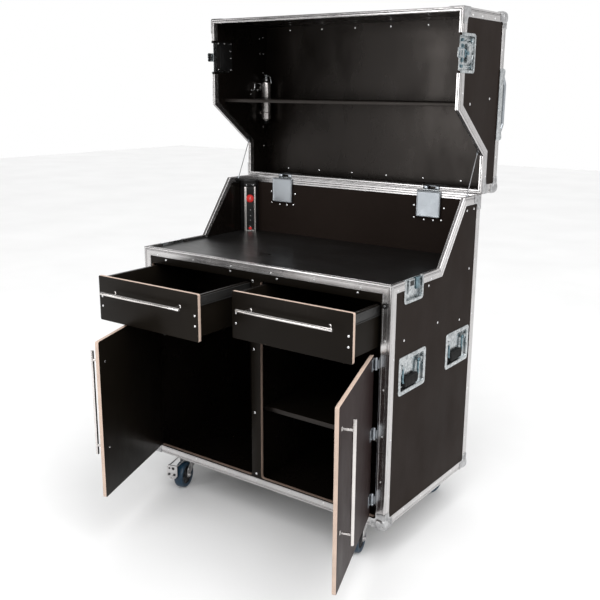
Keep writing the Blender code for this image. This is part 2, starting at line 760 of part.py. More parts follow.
# lid latches: dish with its hook plate, and the butterfly wing that turns in it
for side in SIDES:
    fx = side_x(side, 0.0, AL)
    z0, z1 = RIM_F, RIM_F + LATCH_H
    dish = box(
        f"lid_latch_dish_{side}",
        (fx[0], LATCH_Y - LATCH_W / 2, z0), (fx[1], LATCH_Y + LATCH_W / 2, z1), lid_axis, ZINC,
    )
    px = side_x(side, 0.0008, LATCH_DEEP + 0.0012)
    a = LATCH_W / 2 - 0.0066
    add_shapes(dish, lid_axis, boxes=[((px[0], LATCH_Y - a, z0), (px[1], LATCH_Y + a, z1 - 0.0066))])
    ix = side_x(side, -0.02, LATCH_DEEP)
    add_shapes(
        dish, lid_axis, operation="DIFFERENCE",
        boxes=[((ix[0], LATCH_Y - a + 0.0012, z0 - 0.02), (ix[1], LATCH_Y + a - 0.0012, z1 - 0.0078))],
    )
    hx = side_x(side, 0.0062, LATCH_DEEP + 0.0006)
    tip = side_x(side, 0.0022, 0.0046)
    boss = side_x(side, 0.0045, LATCH_DEEP + 0.0006)
    neck = side_x(side, 0.0022, LATCH_DEEP + 0.0006)
    add_shapes(
        dish, lid_axis,
        boxes=[
            ((tip[0], LATCH_Y - 0.017, HF - 0.0240), (tip[1], LATCH_Y + 0.017, z0 + 0.0100)),
            ((neck[0], LATCH_Y - 0.017, z0 + 0.0055), (neck[1], LATCH_Y + 0.017, z0 + 0.0100)),
        ],
        cylinders=[
            ((boss[0], LATCH_Y, z0 + 0.0520), (boss[1], LATCH_Y, z0 + 0.0520), 0.0100, 16),
        ],
    )
    ax = 0.0 if side == "left" else W
    turn = pivot(f"latch_axis_{side}", (ax, LATCH_Y, z0 + 0.0520), lid_axis)
    wx = side_x(side, 0.0008, 0.0042)
    wing_r = 0.0300
    arc = [
        (LATCH_Y + wing_r * math.cos(math.radians(a)), z0 + 0.0520 + 0.0060 + wing_r * math.sin(math.radians(a)))
        for a in range(0, 181, 15)
    ]
    arc = [(LATCH_Y + wing_r, z0 + 0.0520 - 0.0060)] + arc + [(LATCH_Y - wing_r, z0 + 0.0520 - 0.0060)]
    sheet(f"latch_wing_{side}", [arc], "X", wx[0], wx[1], turn, ZINC)

# bow handles on the lid's outer top panel
for side in SIDES:
    x = 0.0075 if side == "left" else W - 0.0075
    f0, f1 = (GAP, 0.0260) if side == "left" else (W - 0.0260, W - GAP)
    b0, b1 = (0.0006, 0.0240) if side == "left" else (W - 0.0240, W - 0.0006)
    ya, yb = 0.1890, 0.4140
    up = 0.0400
    z = LID_TOP
    foot = box(
        f"lid_bow_handle_{side}",
        (f0, ya - 0.0080, z + GAP), (f1, yb + 0.0080, z + 0.0030), lid_axis, ZINC,
    )
    add_shapes(
        foot, lid_axis,
        boxes=[
            ((b0, ya - 0.0060, z + 0.0015), (b1, ya + 0.0300, z + 0.0140)),
            ((b0, yb - 0.0300, z + 0.0015), (b1, yb + 0.0060, z + 0.0140)),
        ],
    )
    pts = [Vector((x, ya + 0.0080, z + 0.0070))]
    p0, p1 = Vector((x, ya + 0.0080, z + 0.0070)), Vector((x, ya + 0.0440, z + up - 0.0070))
    p2, p3 = Vector((x, yb - 0.0440, z + up - 0.0070)), Vector((x, yb - 0.0080, z + 0.0070))
    pts += bend(p1, p0, p2, 0.018, 4) + bend(p2, p1, p3, 0.018, 4) + [p3]
    tube = wire(f"bow_tube_{side}", pts, 0.0065, lid_axis, ZINC)
    parts.objects.unlink(tube)
    tools.objects.link(tube)
    tube.hide_render = True
    tube.display_type = "WIRE"
    join(foot, tube, "UNION")

# lid stays
for side in SIDES:
    x = STAY_BASE[0] if side == "left" else W - STAY_BASE[0]
    turn = math.radians(-LID_OPEN)
    dy, dz = STAY_LID[1] - D, STAY_LID[2] - HC
    top = (
        x,
        D + dy * math.cos(turn) - dz * math.sin(turn),
        HC + dy * math.sin(turn) + dz * math.cos(turn),
    )
    bm = bmesh.new()
    add_cylinder(bm, (x, STAY_BASE[1], STAY_BASE[2]), top, STAY_R, 8)
    finish(f"stay_cable_{side}", bm, case, CABLE)


# ==================================================================== castors
def wheel_mesh():
    """A tyre ring with rounded shoulders, turned about X, drawn as a profile."""
    half, bore, r = WHEEL_W / 2, 0.0054, 0.006
    outline = [
        (bore, -half + 0.002), (bore + 0.012, -half), (WHEEL_R - r, -half),
        (WHEEL_R - r * 0.3, -half + r * 0.3), (WHEEL_R, -half + r),
        (WHEEL_R, half - r), (WHEEL_R - r * 0.3, half - r * 0.3), (WHEEL_R - r, half),
        (bore + 0.012, half), (bore, half - 0.002),
    ]
    bm = bmesh.new()
    ring = []
    for k in range(WHEEL_N):
        a = 2 * math.pi * (k + 0.5) / WHEEL_N
        ring.append([bm.verts.new((x, r_ * math.cos(a), r_ * math.sin(a))) for r_, x in outline])
    for k in range(WHEEL_N):
        one, two = ring[k], ring[(k + 1) % WHEEL_N]
        for j in range(len(outline)):
            m = (j + 1) % len(outline)
            bm.faces.new((one[j], one[m], two[m], two[j]))
    return bm


for name, x, y, heading in CASTORS:
    swivel = pivot(f"castor_axis_{name}", (x, y, 0.0), case, turn=(0, 0, heading))
    # in the castor's own frame the wheel trails towards +X and its axle runs along Y
    ORIGIN[swivel.name] = Vector((0.0, 0.0, 0.0))
    bm = bmesh.new()
    add_cylinder(bm, (0, 0, -0.0200), (0, 0, -0.0038), 0.0300, 24)
    fork = finish(f"castor_fork_{name}", bm, swivel, ZINC, smooth=True)
    leg = [
        (-0.0200, -0.0240), (-0.0120, -0.0450), (TRAIL - 0.0110, AXLE_Z - 0.0050),
        (TRAIL - 0.0060, AXLE_Z - 0.0105), (TRAIL + 0.0060, AXLE_Z - 0.0105),
        (TRAIL + 0.0110, AXLE_Z - 0.0050), (TRAIL + 0.0100, AXLE_Z + 0.0200),
        (0.0240, -0.0240), (0.0240, -0.0180), (-0.0200, -0.0180),
    ]
    for s in (-1, 1):
        lo, hi = sorted((s * 0.0205, s * 0.0240))
        join(fork, sheet(f"fork_{name}_leg{s}", [leg], "Y", lo, hi, swivel, None, True), "UNION")
    add_shapes(
        fork, swivel,
        boxes=[((-0.0200, -0.0240, -0.0225), (0.0240, 0.0240, -0.0180))],
        cylinders=[((TRAIL, -0.0275, AXLE_Z), (TRAIL, 0.0275, AXLE_Z), 0.0050, 16)],
    )
    axle = bpy.data.objects.new(f"wheel_axis_{name}", None)
    parts.objects.link(axle)
    axle.parent = swivel
    axle.location = (TRAIL, 0.0, AXLE_Z)
    axle.rotation_euler = (0.0, 0.0, math.pi / 2)
    ORIGIN[axle.name] = Vector((0.0, 0.0, 0.0))
    finish(f"castor_wheel_{name}", wheel_mesh(), axle, BLUE, smooth=True)

bpy.context.view_layer.update()
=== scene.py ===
import math
import bmesh
import bpy
from mathutils import Matrix, Vector


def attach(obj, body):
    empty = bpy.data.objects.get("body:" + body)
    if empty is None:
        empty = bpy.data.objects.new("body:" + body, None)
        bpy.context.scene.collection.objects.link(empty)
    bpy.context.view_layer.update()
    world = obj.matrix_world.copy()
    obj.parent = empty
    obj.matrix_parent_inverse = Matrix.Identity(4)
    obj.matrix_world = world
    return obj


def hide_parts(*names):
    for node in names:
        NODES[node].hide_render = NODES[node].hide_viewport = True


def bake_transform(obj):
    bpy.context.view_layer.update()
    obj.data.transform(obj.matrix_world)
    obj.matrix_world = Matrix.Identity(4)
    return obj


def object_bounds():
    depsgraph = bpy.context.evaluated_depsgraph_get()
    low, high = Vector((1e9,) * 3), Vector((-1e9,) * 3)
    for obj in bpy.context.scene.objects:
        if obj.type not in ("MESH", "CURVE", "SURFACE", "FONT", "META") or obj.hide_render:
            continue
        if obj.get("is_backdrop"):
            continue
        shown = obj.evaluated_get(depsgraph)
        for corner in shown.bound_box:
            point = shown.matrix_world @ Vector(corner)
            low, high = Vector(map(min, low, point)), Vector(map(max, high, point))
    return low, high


# The looks of the rolling counter case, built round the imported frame.
# Positions are worked out as on the closed case, from the lower front left
# corner of its body (X right, Y back, Z up, metres), and each body's matrix
# then takes its pieces to where that body stands open.

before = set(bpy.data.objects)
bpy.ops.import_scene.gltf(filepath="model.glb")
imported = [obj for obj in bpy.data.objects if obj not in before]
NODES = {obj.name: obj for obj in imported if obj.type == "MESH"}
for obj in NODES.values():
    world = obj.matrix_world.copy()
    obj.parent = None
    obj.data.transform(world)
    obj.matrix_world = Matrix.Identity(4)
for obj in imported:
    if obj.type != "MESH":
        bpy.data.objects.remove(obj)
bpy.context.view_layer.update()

# ------------------------------------------------------------------ sizes
W, D, HF, HC = 1.040, 0.600, 0.800, 1.013
YS, YT, LR, RIM_GAP = 0.314, 0.470, 0.124, 0.0008
AL, GAP, PIN, PLY, BOARD = 0.0017, 0.0003, 0.0020, 0.009, 0.012
INNER = PIN + PLY + GAP
LIP, EDGE = 0.014, 0.030
TOP_Z = 0.790
LID_TOP, RIM_F, RIM_C = HC + LR, HF + RIM_GAP, HC + RIM_GAP
DOOR_X = ((0.0385, 0.4975), (0.5425, 1.0015))
DOOR_Z = (0.0370, 0.5780)
DOOR_PIVOT = ((0.0437, -0.0055), (0.9963, -0.0055))
HINGE_Z = (0.098, 0.322, 0.551)
FRONT_X, FRONT_Z = ((0.0400, 0.4960), (0.5440, 1.0000)), (0.5855, 0.7410)
BOX_X, BOX_Z = ((0.0475, 0.4885), (0.5515, 0.9925)), (0.600, 0.735)
BOX_DEPTH = 0.460
RAIL_Z = (0.694, 0.739)
OPEN_X, OPEN_Z = ((0.0365, 0.4995), (0.5405, 1.0035)), (0.0340, 0.7435)
HANDLE_Y, HANDLE_Z = (0.149, 0.472), 0.494
BAIL_Z, BAIL_DROP, BAIL_HALF, BAIL_IN = 0.520, 0.056, 0.0500, 0.0072
LATCH_Y, LATCH_W, KEEPER_H, LATCH_H, LATCH_DEEP = 0.139, 0.122, 0.0755, 0.100, 0.0088
HINGE_X, HINGE_NOTCH, KNUCKLE_R = (0.1925, 0.8475), 0.033, 0.0050
BAR_OUT, BAR_R, BAR_LEN, POST_GAP = 0.034, 0.0056, 0.362, 0.299
CASTORS = (
    ("front_left", 0.121, 0.075, -74.0),
    ("front_right", 0.911, 0.075, -76.0),
    ("rear_left", 0.121, 0.525, 62.0),
    ("rear_right", 0.911, 0.525, 78.0),
)
WHEEL_R, WHEEL_W, TRAIL = 0.050, 0.036, 0.042
AXLE_Z = -0.130 + WHEEL_R
SIDES = ("left", "right")


def shift(x, y, z):
    return Matrix.Translation((x, y, z))


def turn(angle, axis):
    return Matrix.Rotation(math.radians(angle), 4, axis)


CASE = shift(-0.58538, -0.16245, 0.130)
PLACE = {
    "case": CASE,
    "lid": CASE @ shift(0, D, HC) @ turn(-90, "X") @ shift(0, -D, -HC),
    "drawer_left": CASE @ shift(0, -0.255, 0),
    "drawer_right": CASE @ shift(0, -0.149, 0),
}
for k, angle in ((0, -69.4), (1, 110.0)):
    px, py = DOOR_PIVOT[k]
    PLACE["door_leaf_" + SIDES[k]] = CASE @ shift(px, py, 0) @ turn(angle, "Z") @ shift(-px, -py, 0)
for name, x, y, heading in CASTORS:
    PLACE["castor_" + name] = CASE @ shift(x, y, 0) @ turn(heading, "Z")
    PLACE["wheel_" + name] = PLACE["castor_" + name]
for side in SIDES:
    PLACE["wing_" + side] = PLACE["lid"]
    for where in ("front", "rear"):
        PLACE[f"bail_{side}_{where}"] = CASE
PLACE["switch"] = CASE

# local frames of the faces: (a, b, h) with h pointing out of the face
FACE = {
    "left": Matrix(((0, 0, -1, 0), (1, 0, 0, 0), (0, 1, 0, 0), (0, 0, 0, 1))),
    "right": Matrix(((0, 0, 1, W), (1, 0, 0, 0), (0, 1, 0, 0), (0, 0, 0, 1))),
    "front": Matrix(((1, 0, 0, 0), (0, 0, -1, 0), (0, 1, 0, 0), (0, 0, 0, 1))),
    "back": Matrix(((1, 0, 0, 0), (0, 0, 1, D), (0, 1, 0, 0), (0, 0, 0, 1))),
    "bottom": Matrix(((1, 0, 0, 0), (0, 1, 0, 0), (0, 0, -1, 0), (0, 0, 0, 1))),
    "top": Matrix(((1, 0, 0, 0), (0, 1, 0, 0), (0, 0, 1, LID_TOP), (0, 0, 0, 1))),
}


# -------------------------------------------------------------- materials
class Paint:
    """A Principled material whose colour, roughness and bump come from nodes."""

    def __init__(self, name, metallic=0.0, roughness=0.4, specular=0.5, coat=0.0, coat_roughness=0.2):
        self.material = bpy.data.materials.new(name)
        self.material.use_nodes = True
        self.tree = self.material.node_tree
        self.shader = self.tree.nodes["Principled BSDF"]
        self.shader.inputs["Metallic"].default_value = metallic
        self.shader.inputs["Roughness"].default_value = roughness
        self.shader.inputs["Specular IOR Level"].default_value = specular
        self.shader.inputs["Coat Weight"].default_value = coat
        self.shader.inputs["Coat Roughness"].default_value = coat_roughness
        self.where = self.tree.nodes.new("ShaderNodeTexCoord")

    def node(self, kind, **settings):
        made = self.tree.nodes.new(kind)
        for key, value in settings.items():
            setattr(made, key, value)
        return made

    def link(self, a, b):
        self.tree.links.new(a, b)

    def scaled(self, space, scale):
        found = self.node("ShaderNodeMapping")
        found.inputs["Scale"].default_value = scale
        self.link(self.where.outputs[space], found.inputs["Vector"])
        return found.outputs["Vector"]

    def noise(self, space, scale, detail=3.0, rough=0.5, stretch=(1, 1, 1)):
        made = self.node("ShaderNodeTexNoise")
        made.inputs["Scale"].default_value = scale
        made.inputs["Detail"].default_value = detail
        made.inputs["Roughness"].default_value = rough
        self.link(self.scaled(space, stretch), made.inputs["Vector"])
        return made.outputs["Fac"]

    def cells(self, space, scale, feature="F1", stretch=(1, 1, 1), output="Distance"):
        made = self.node("ShaderNodeTexVoronoi", feature=feature)
        made.inputs["Scale"].default_value = scale
        self.link(self.scaled(space, stretch), made.inputs["Vector"])
        return made.outputs[output]

    def ramp(self, fac, *stops):
        made = self.node("ShaderNodeValToRGB")
        cr = made.color_ramp
        while len(cr.elements) < len(stops):
            cr.elements.new(0.5)
        for element, (at, colour) in zip(cr.elements, stops):
            element.position = at
            element.color = (*colour, 1.0) if len(colour) == 3 else colour
        self.link(fac, made.inputs["Fac"])
        return made.outputs["Color"]

    def span(self, fac, low, high, f0=0.0, f1=1.0):
        made = self.node("ShaderNodeMapRange")
        made.inputs["From Min"].default_value = f0
        made.inputs["From Max"].default_value = f1
        made.inputs["To Min"].default_value = low
        made.inputs["To Max"].default_value = high
        self.link(fac, made.inputs["Value"])
        return made.outputs["Result"]

    def mix(self, fac, a, b, blend="MIX"):
        made = self.node("ShaderNodeMix", data_type="RGBA", blend_type=blend)
        for socket, value in ((0, fac), (6, a), (7, b)):
            if isinstance(value, (int, float)):
                made.inputs[socket].default_value = value
            elif isinstance(value, tuple):
                made.inputs[socket].default_value = (*value, 1.0)
            else:
                self.link(value, made.inputs[socket])
        return made.outputs[2]

    def math(self, operation, a, b=0.0):
        made = self.node("ShaderNodeMath", operation=operation)
        for socket, value in ((0, a), (1, b)):
            if isinstance(value, (int, float)):
                made.inputs[socket].default_value = value
            else:
                self.link(value, made.inputs[socket])
        return made.outputs[0]

    def colour(self, value):
        self.link(value, self.shader.inputs["Base Color"])

    def rough(self, value):
        self.link(value, self.shader.inputs["Roughness"])

    def bump(self, *layers):
        last = None
        for height, strength, distance in layers:
            made = self.node("ShaderNodeBump")
            made.inputs["Strength"].default_value = strength
            made.inputs["Distance"].default_value = distance
            self.link(height, made.inputs["Height"])
            if last:
                self.link(last, made.inputs["Normal"])
            last = made.outputs["Normal"]
        self.link(last, self.shader.inputs["Normal"])


def laminate(name, dark, light, roughness=0.40, specular=0.42):
    """Phenolic film on plywood: brown black, fine pebbled grain, hand marks."""
    p = Paint(name, roughness=roughness, specular=specular)
    p.shader.inputs["Specular Tint"].default_value = (1.0, 0.90, 0.84, 1.0)
    cloud = p.noise("Object", 2.6, 4.0, 0.55)
    fine = p.noise("Object", 420.0, 2.0, 0.6)
    base = p.ramp(cloud, (0.30, dark), (0.72, light))
    fleck = p.ramp(fine, (0.45, (0.80, 0.80, 0.80)), (0.75, (1.25, 1.22, 1.20)))
    scuff = p.noise("Object", 26.0, 6.0, 0.7, (1.0, 1.0, 0.35))
    marked = p.mix(p.ramp(scuff, (0.66, (0, 0, 0)), (0.80, (1, 1, 1))), p.mix(1.0, base, fleck, "MULTIPLY"), (0.020, 0.017, 0.015))
    p.colour(marked)
    smear = p.noise("Object", 7.0, 5.0, 0.6, (1.0, 1.0, 0.5))
    p.rough(p.span(smear, roughness - 0.09, roughness + 0.10, 0.3, 0.7))
    pebble = p.cells("Object", 520.0, "SMOOTH_F1")
    p.bump((pebble, 0.10, 0.00025), (fine, 0.05, 0.0002), (p.noise("Object", 5.0, 2.0), 0.05, 0.002))
    return p.material


def counter_top():
    p = Paint("counter_satin_black", roughness=0.33, specular=0.5, coat=0.15, coat_roughness=0.3)
    cloud = p.noise("Object", 4.0, 5.0, 0.6)
    p.colour(p.ramp(cloud, (0.3, (0.0030, 0.0028, 0.0028)), (0.7, (0.0060, 0.0056, 0.0055))))
    wipe = p.noise("Object", 9.0, 6.0, 0.65, (0.6, 1.4, 1.0))
    p.rough(p.span(wipe, 0.27, 0.41, 0.3, 0.7))
    p.bump((p.cells("Object", 640.0, "SMOOTH_F1"), 0.08, 0.0002), (p.noise("Object", 3.0, 2.0), 0.06, 0.002))
    return p.material


def birch_edge(name, light, dark, glue, thickness):
    """Sanded plywood edge: plies of light and end grain with thin glue lines."""
    p = Paint(name, roughness=0.55, specular=0.35)
    split = p.node("ShaderNodeSeparateXYZ")
    p.link(p.where.outputs["UV"], split.inputs[0])
    wave = p.noise("UV", 30.0, 2.0, 0.5)
    v = p.math("ADD", p.math("MULTIPLY", split.outputs["Y"], 4.5 / thickness), p.math("MULTIPLY", wave, 0.12))
    ply = p.math("FRACT", v)
    plies = p.ramp(ply, (0.0, light), (0.40, light), (0.47, glue), (0.54, dark), (0.90, dark), (0.97, glue))
    grain = p.noise("UV", 1.0, 4.0, 0.7, (900.0, 2600.0, 1.0))
    tint = p.ramp(p.noise("UV", 14.0, 3.0, 0.6), (0.3, (0.86, 0.84, 0.82)), (0.7, (1.05, 1.03, 1.0)))
    speck = p.ramp(grain, (0.35, (0.80, 0.78, 0.76)), (0.6, (1.06, 1.06, 1.06)))
    p.colour(p.mix(1.0, p.mix(1.0, plies, tint, "MULTIPLY"), speck, "MULTIPLY"))
    p.rough(p.span(grain, 0.48, 0.68))
    p.bump((grain, 0.25, 0.0002))
    return p.material


def drawn_metal(name, low, high, rough=(0.22, 0.36), streak=0.35, metallic=1.0, blotch=14.0):
    """Extruded or brushed metal: streaks run along u, the length of the piece."""
    p = Paint(name, metallic=metallic, roughness=rough[0])
    lines = p.noise("UV", 1.0, 4.0, 0.65, (5.0, 1500.0, 1.0))
    broad = p.noise("UV", 1.0, 3.0, 0.5, (3.0, 320.0, 1.0))
    patch = p.noise("Object", blotch, 5.0, 0.6)
    base = p.ramp(broad, (0.28, low), (0.72, high))
    worn = p.ramp(patch, (0.30, (0.86, 0.86, 0.87)), (0.62, (1.0, 1.0, 1.0)))
    p.colour(p.mix(1.0, base, worn, "MULTIPLY"))
    both = p.math("ADD", p.math("MULTIPLY", lines, 0.6), p.math("MULTIPLY", patch, 0.4))
    p.rough(p.span(both, rough[0], rough[1], 0.34, 0.66))
    scratch = p.noise("Object", 60.0, 2.0, 0.9, (1.0, 1.0, 9.0))
    p.bump((lines, streak, 0.00018), (broad, streak * 0.25, 0.0003), (scratch, 0.10, 0.0001))
    return p.material


def plated(name, low, high, rough=(0.20, 0.36), spangle=140.0, bump=0.12, metallic=1.0):
    """Zinc or nickel plate on pressed steel, mottled by the bath."""
    p = Paint(name, metallic=metallic, roughness=rough[0])
    spots = p.cells("Object", spangle, "F1", output="Color")
    grey = p.node("ShaderNodeRGBToBW")
    p.link(spots, grey.inputs[0])
    cloud = p.noise("Object", 46.0, 5.0, 0.65)
    both = p.math("ADD", p.math("MULTIPLY", grey.outputs[0], 0.35), p.math("MULTIPLY", cloud, 0.65))
    p.colour(p.ramp(both, (0.30, low), (0.62, high)))
    p.rough(p.span(cloud, rough[0], rough[1], 0.3, 0.7))
    p.bump((cloud, bump, 0.0006), (p.noise("Object", 900.0, 2.0), 0.05, 0.0001))
    return p.material


def smooth_metal(name, low, high, rough):
    """Plated sheet with only slow changes of tone and a faint haze."""
    p = Paint(name, metallic=1.0, roughness=rough[0])
    cloud = p.noise("Object", 9.0, 3.0, 0.5)
    haze = p.noise("Object", 38.0, 4.0, 0.55)
    p.colour(p.ramp(cloud, (0.3, low), (0.7, high)))
    p.rough(p.span(haze, rough[0], rough[1], 0.3, 0.7))
    p.bump((p.noise("Object", 16.0, 2.0), 0.03, 0.0012))
    return p.material


def moulded(name, low, high, rough=(0.35, 0.5), scale=700.0, bump=0.15, specular=0.5):
    """Plastic or rubber with a fine moulded texture."""
    p = Paint(name, roughness=rough[0], specular=specular)
    p.colour(p.ramp(p.noise("Object", 30.0, 4.0, 0.6), (0.3, low), (0.7, high)))
    p.rough(p.span(p.noise("Object", 80.0, 4.0, 0.6), rough[0], rough[1], 0.3, 0.7))
    p.bump((p.noise("Object", scale, 2.0, 0.6), bump, 0.0002))
    return p.material


LAMINATE = laminate("laminate_brown_black", (0.0040, 0.0030, 0.0024), (0.0075, 0.0058, 0.0046), 0.27, 0.24)
FRONT_LAM = laminate("laminate_fronts", (0.0056, 0.0044, 0.0032), (0.0095, 0.0076, 0.0056), 0.36, 0.10)
# lighter copy of the same brown black film for the right side panels and the back panel: painted light
LIT_SIDE_LAM = laminate("laminate_right_back_painted_light", (0.0160, 0.0112, 0.0092), (0.0220, 0.0158, 0.0132), 0.42, 0.03)
# lighter copy of the film for the right door only: painted light
LIT_DOOR_LAM = laminate("laminate_right_door_painted_light", (0.0280, 0.0185, 0.0180), (0.0380, 0.0265, 0.0255), 0.42, 0.04)
# darker copy of the birch edge for the edges round the openings: painted shade
BIRCH_SHADED = birch_edge("birch_edge_opening_painted_shade", (0.40, 0.30, 0.25), (0.30, 0.22, 0.18), (0.16, 0.11, 0.09), 0.012)
COUNTER = counter_top()
EDGE_BAND = laminate("edge_band_dark", (0.0060, 0.0050, 0.0044), (0.0090, 0.0074, 0.0066), 0.34, 0.30)
BIRCH = birch_edge("birch_edge", (0.74, 0.60, 0.52), (0.58, 0.45, 0.38), (0.36, 0.25, 0.20), 0.012)
ALU = drawn_metal("edge_aluminium", (0.56, 0.545, 0.54), (0.66, 0.645, 0.64), (0.20, 0.30), 0.08)
# darker aluminium for the floors of the grooves: painted shade in the recesses
ALU_GROOVE_SHADE = drawn_metal("edge_aluminium_groove_painted_shade", (0.10, 0.095, 0.095), (0.20, 0.19, 0.19), (0.45, 0.65))
CORNER = plated("corner_plate", (0.34, 0.34, 0.345), (0.56, 0.56, 0.565), (0.26, 0.42), 90.0)
RIVET = plated("rivet_aluminium", (0.66, 0.66, 0.67), (0.88, 0.88, 0.88), (0.20, 0.34), 400.0)
ZINC = plated("zinc_plate", (0.30, 0.325, 0.335), (0.60, 0.625, 0.635), (0.20, 0.38), 120.0, 0.25)
ZINC_DARK = plated("zinc_plate_wire", (0.06, 0.105, 0.125), (0.20, 0.29, 0.33), (0.22, 0.38), 160.0)
NICKEL = smooth_metal("nickel_plate", (0.34, 0.365, 0.39), (0.42, 0.445, 0.47), (0.30, 0.36))
FORK = smooth_metal("castor_steel", (0.46, 0.45, 0.45), (0.64, 0.63, 0.63), (0.24, 0.36))
BAR = drawn_metal("brushed_bar", (0.70, 0.665, 0.64), (0.86, 0.825, 0.80), (0.20, 0.30), 0.15)
STEEL = drawn_metal("runner_steel", (0.36, 0.37, 0.38), (0.54, 0.55, 0.56), (0.28, 0.42), 0.2)
RUNNER = drawn_metal("runner_black", (0.010, 0.010, 0.010), (0.024, 0.023, 0.022), (0.34, 0.48), 0.2, metallic=0.0)
SCREW = plated("screw_steel", (0.55, 0.55, 0.56), (0.82, 0.82, 0.82), (0.18, 0.30), 500.0)
# near-black: painted shade in screw driver recesses and the keeper's slot; also the castor lock's backing plate and
# bolts
RECESS = moulded("recess_black", (0.006, 0.006, 0.006), (0.012, 0.012, 0.012), (0.5, 0.7))
BLACK = moulded("black_plastic", (0.006, 0.006, 0.006), (0.014, 0.0135, 0.0135), (0.34, 0.50), 900.0, 0.14, 0.22)
RUBBER = moulded("black_rubber", (0.004, 0.004, 0.004), (0.010, 0.010, 0.010), (0.50, 0.66), 1100.0, 0.22, 0.16)
RED = moulded("switch_red", (0.62, 0.016, 0.014), (0.80, 0.030, 0.024), (0.22, 0.32), 600.0, 0.04, 0.6)
TYRE = moulded("tyre_blue", (0.002, 0.018, 0.040), (0.004, 0.036, 0.070), (0.34, 0.50), 500.0, 0.14)
HUB = moulded("hub_black", (0.010, 0.010, 0.011), (0.020, 0.020, 0.022), (0.38, 0.5), 500.0, 0.10)
CABLE = drawn_metal("stay_wire", (0.26, 0.26, 0.27), (0.42, 0.42, 0.43), (0.30, 0.45), 0.3)
CHROME = plated("chrome", (0.72, 0.73, 0.75), (0.86, 0.87, 0.88), (0.08, 0.16), 20.0, 0.03)


# ---------------------------------------------------------- mesh helpers
def finish(name, bm, body, paints, replaces=(), place=None, smooth=32.0, merge=True):
    """Makes the mesh an object at its place in the open case, riding on its body."""
    if merge:
        bmesh.ops.remove_doubles(bm, verts=bm.verts, dist=2e-6)
    bmesh.ops.dissolve_degenerate(bm, edges=bm.edges, dist=1e-7)
    bm.transform(PLACE[body] if place is None else place)
    bmesh.ops.recalc_face_normals(bm, faces=bm.faces)
    mesh = bpy.data.meshes.new(name)
    bm.to_mesh(mesh)
    bm.free()
    for paint in paints:
        mesh.materials.append(paint)
    mesh.shade_smooth()
    mesh.set_sharp_from_angle(angle=math.radians(smooth))
    obj = bpy.data.objects.new(name, mesh)
    bpy.context.scene.collection.objects.link(obj)
    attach(obj, body)
    if replaces:
        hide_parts(*replaces)
    return obj


def box(bm, low, high, bevel=0.0, segments=2, mat=0):
    low, high = Vector(low), Vector(high)
    part = bmesh.new()
    made = bmesh.ops.create_cube(part, size=1.0)["verts"]
    bmesh.ops.scale(part, vec=high - low, verts=made)
    bmesh.ops.translate(part, vec=(high + low) / 2, verts=made)
    if bevel:
        bmesh.ops.bevel(part, geom=list(part.edges), offset=min(bevel, min(high - low) * 0.45), segments=segments, profile=0.5, affect="EDGES")
    uv = part.loops.layers.uv.verify()
    part.normal_update()
    long = max(range(3), key=lambda k: (high - low)[k])
    for face in part.faces:
        face.material_index = mat
        n = max(range(3), key=lambda k: abs(face.normal[k]))
        other = [k for k in range(3) if k not in (long, n)][0]
        for loop in face.loops:
            loop[uv].uv = (loop.vert.co[long if long != n else (n + 1) % 3], loop.vert.co[other])
    add_mesh(bm, part)


def lathe(bm, profile, matrix=None, sides=24, mat=0, closed=False):
    """A turned shape: (radius, height) pairs about local Z.

    closed joins the last pair to the first, as for a ring."""
    part = bmesh.new()
    uv = part.loops.layers.uv.verify()
    pairs = list(profile) + [profile[0]] if closed else list(profile)
    rings = []
    for r, z in profile:
        if r < 1e-7:
            rings.append([part.verts.new((0, 0, z))])
        else:
            rings.append([
                part.verts.new((r * math.cos(2 * math.pi * k / sides), r * math.sin(2 * math.pi * k / sides), z))
                for k in range(sides)
            ])
    if closed:
        rings.append(rings[0])
    run = 0.0
    for (one, two), (p, q) in zip(zip(rings, rings[1:]), zip(pairs, pairs[1:])):
        step = math.hypot(q[0] - p[0], q[1] - p[1])
        size = 2 * math.pi * max(p[0], q[0]) / sides
        for k in range(sides):
            m = (k + 1) % sides
            if len(one) == 1 and len(two) == 1:
                continue
            if len(one) == 1:
                corners, at = (one[0], two[m], two[k]), ((k, run), (k + 1, run + step), (k, run + step))
            elif len(two) == 1:
                corners, at = (one[k], one[m], two[0]), ((k, run), (k + 1, run), (k, run + step))
            else:
                corners, at = (one[k], one[m], two[m], two[k]), ((k, run), (k + 1, run), (k + 1, run + step), (k, run + step))
            face = part.faces.new(corners)
            # u runs along the axis, so that drawn streaks follow a bar
            for loop, (around, axial) in zip(face.loops, at):
                loop[uv].uv = (axial, around * size)
        run += step
    if not closed:
        for ring in (rings[0], rings[-1]):
            if len(ring) > 1:
                part.faces.new(ring)
    for face in part.faces:
        face.material_index = mat
    if matrix is not None:
        part.transform(matrix)
    add_mesh(bm, part)


def aim(at, direction):
    """A matrix that stands local Z along a direction at a point."""
    return Matrix.Translation(at) @ Vector(direction).to_track_quat("Z", "Y").to_matrix().to_4x4()


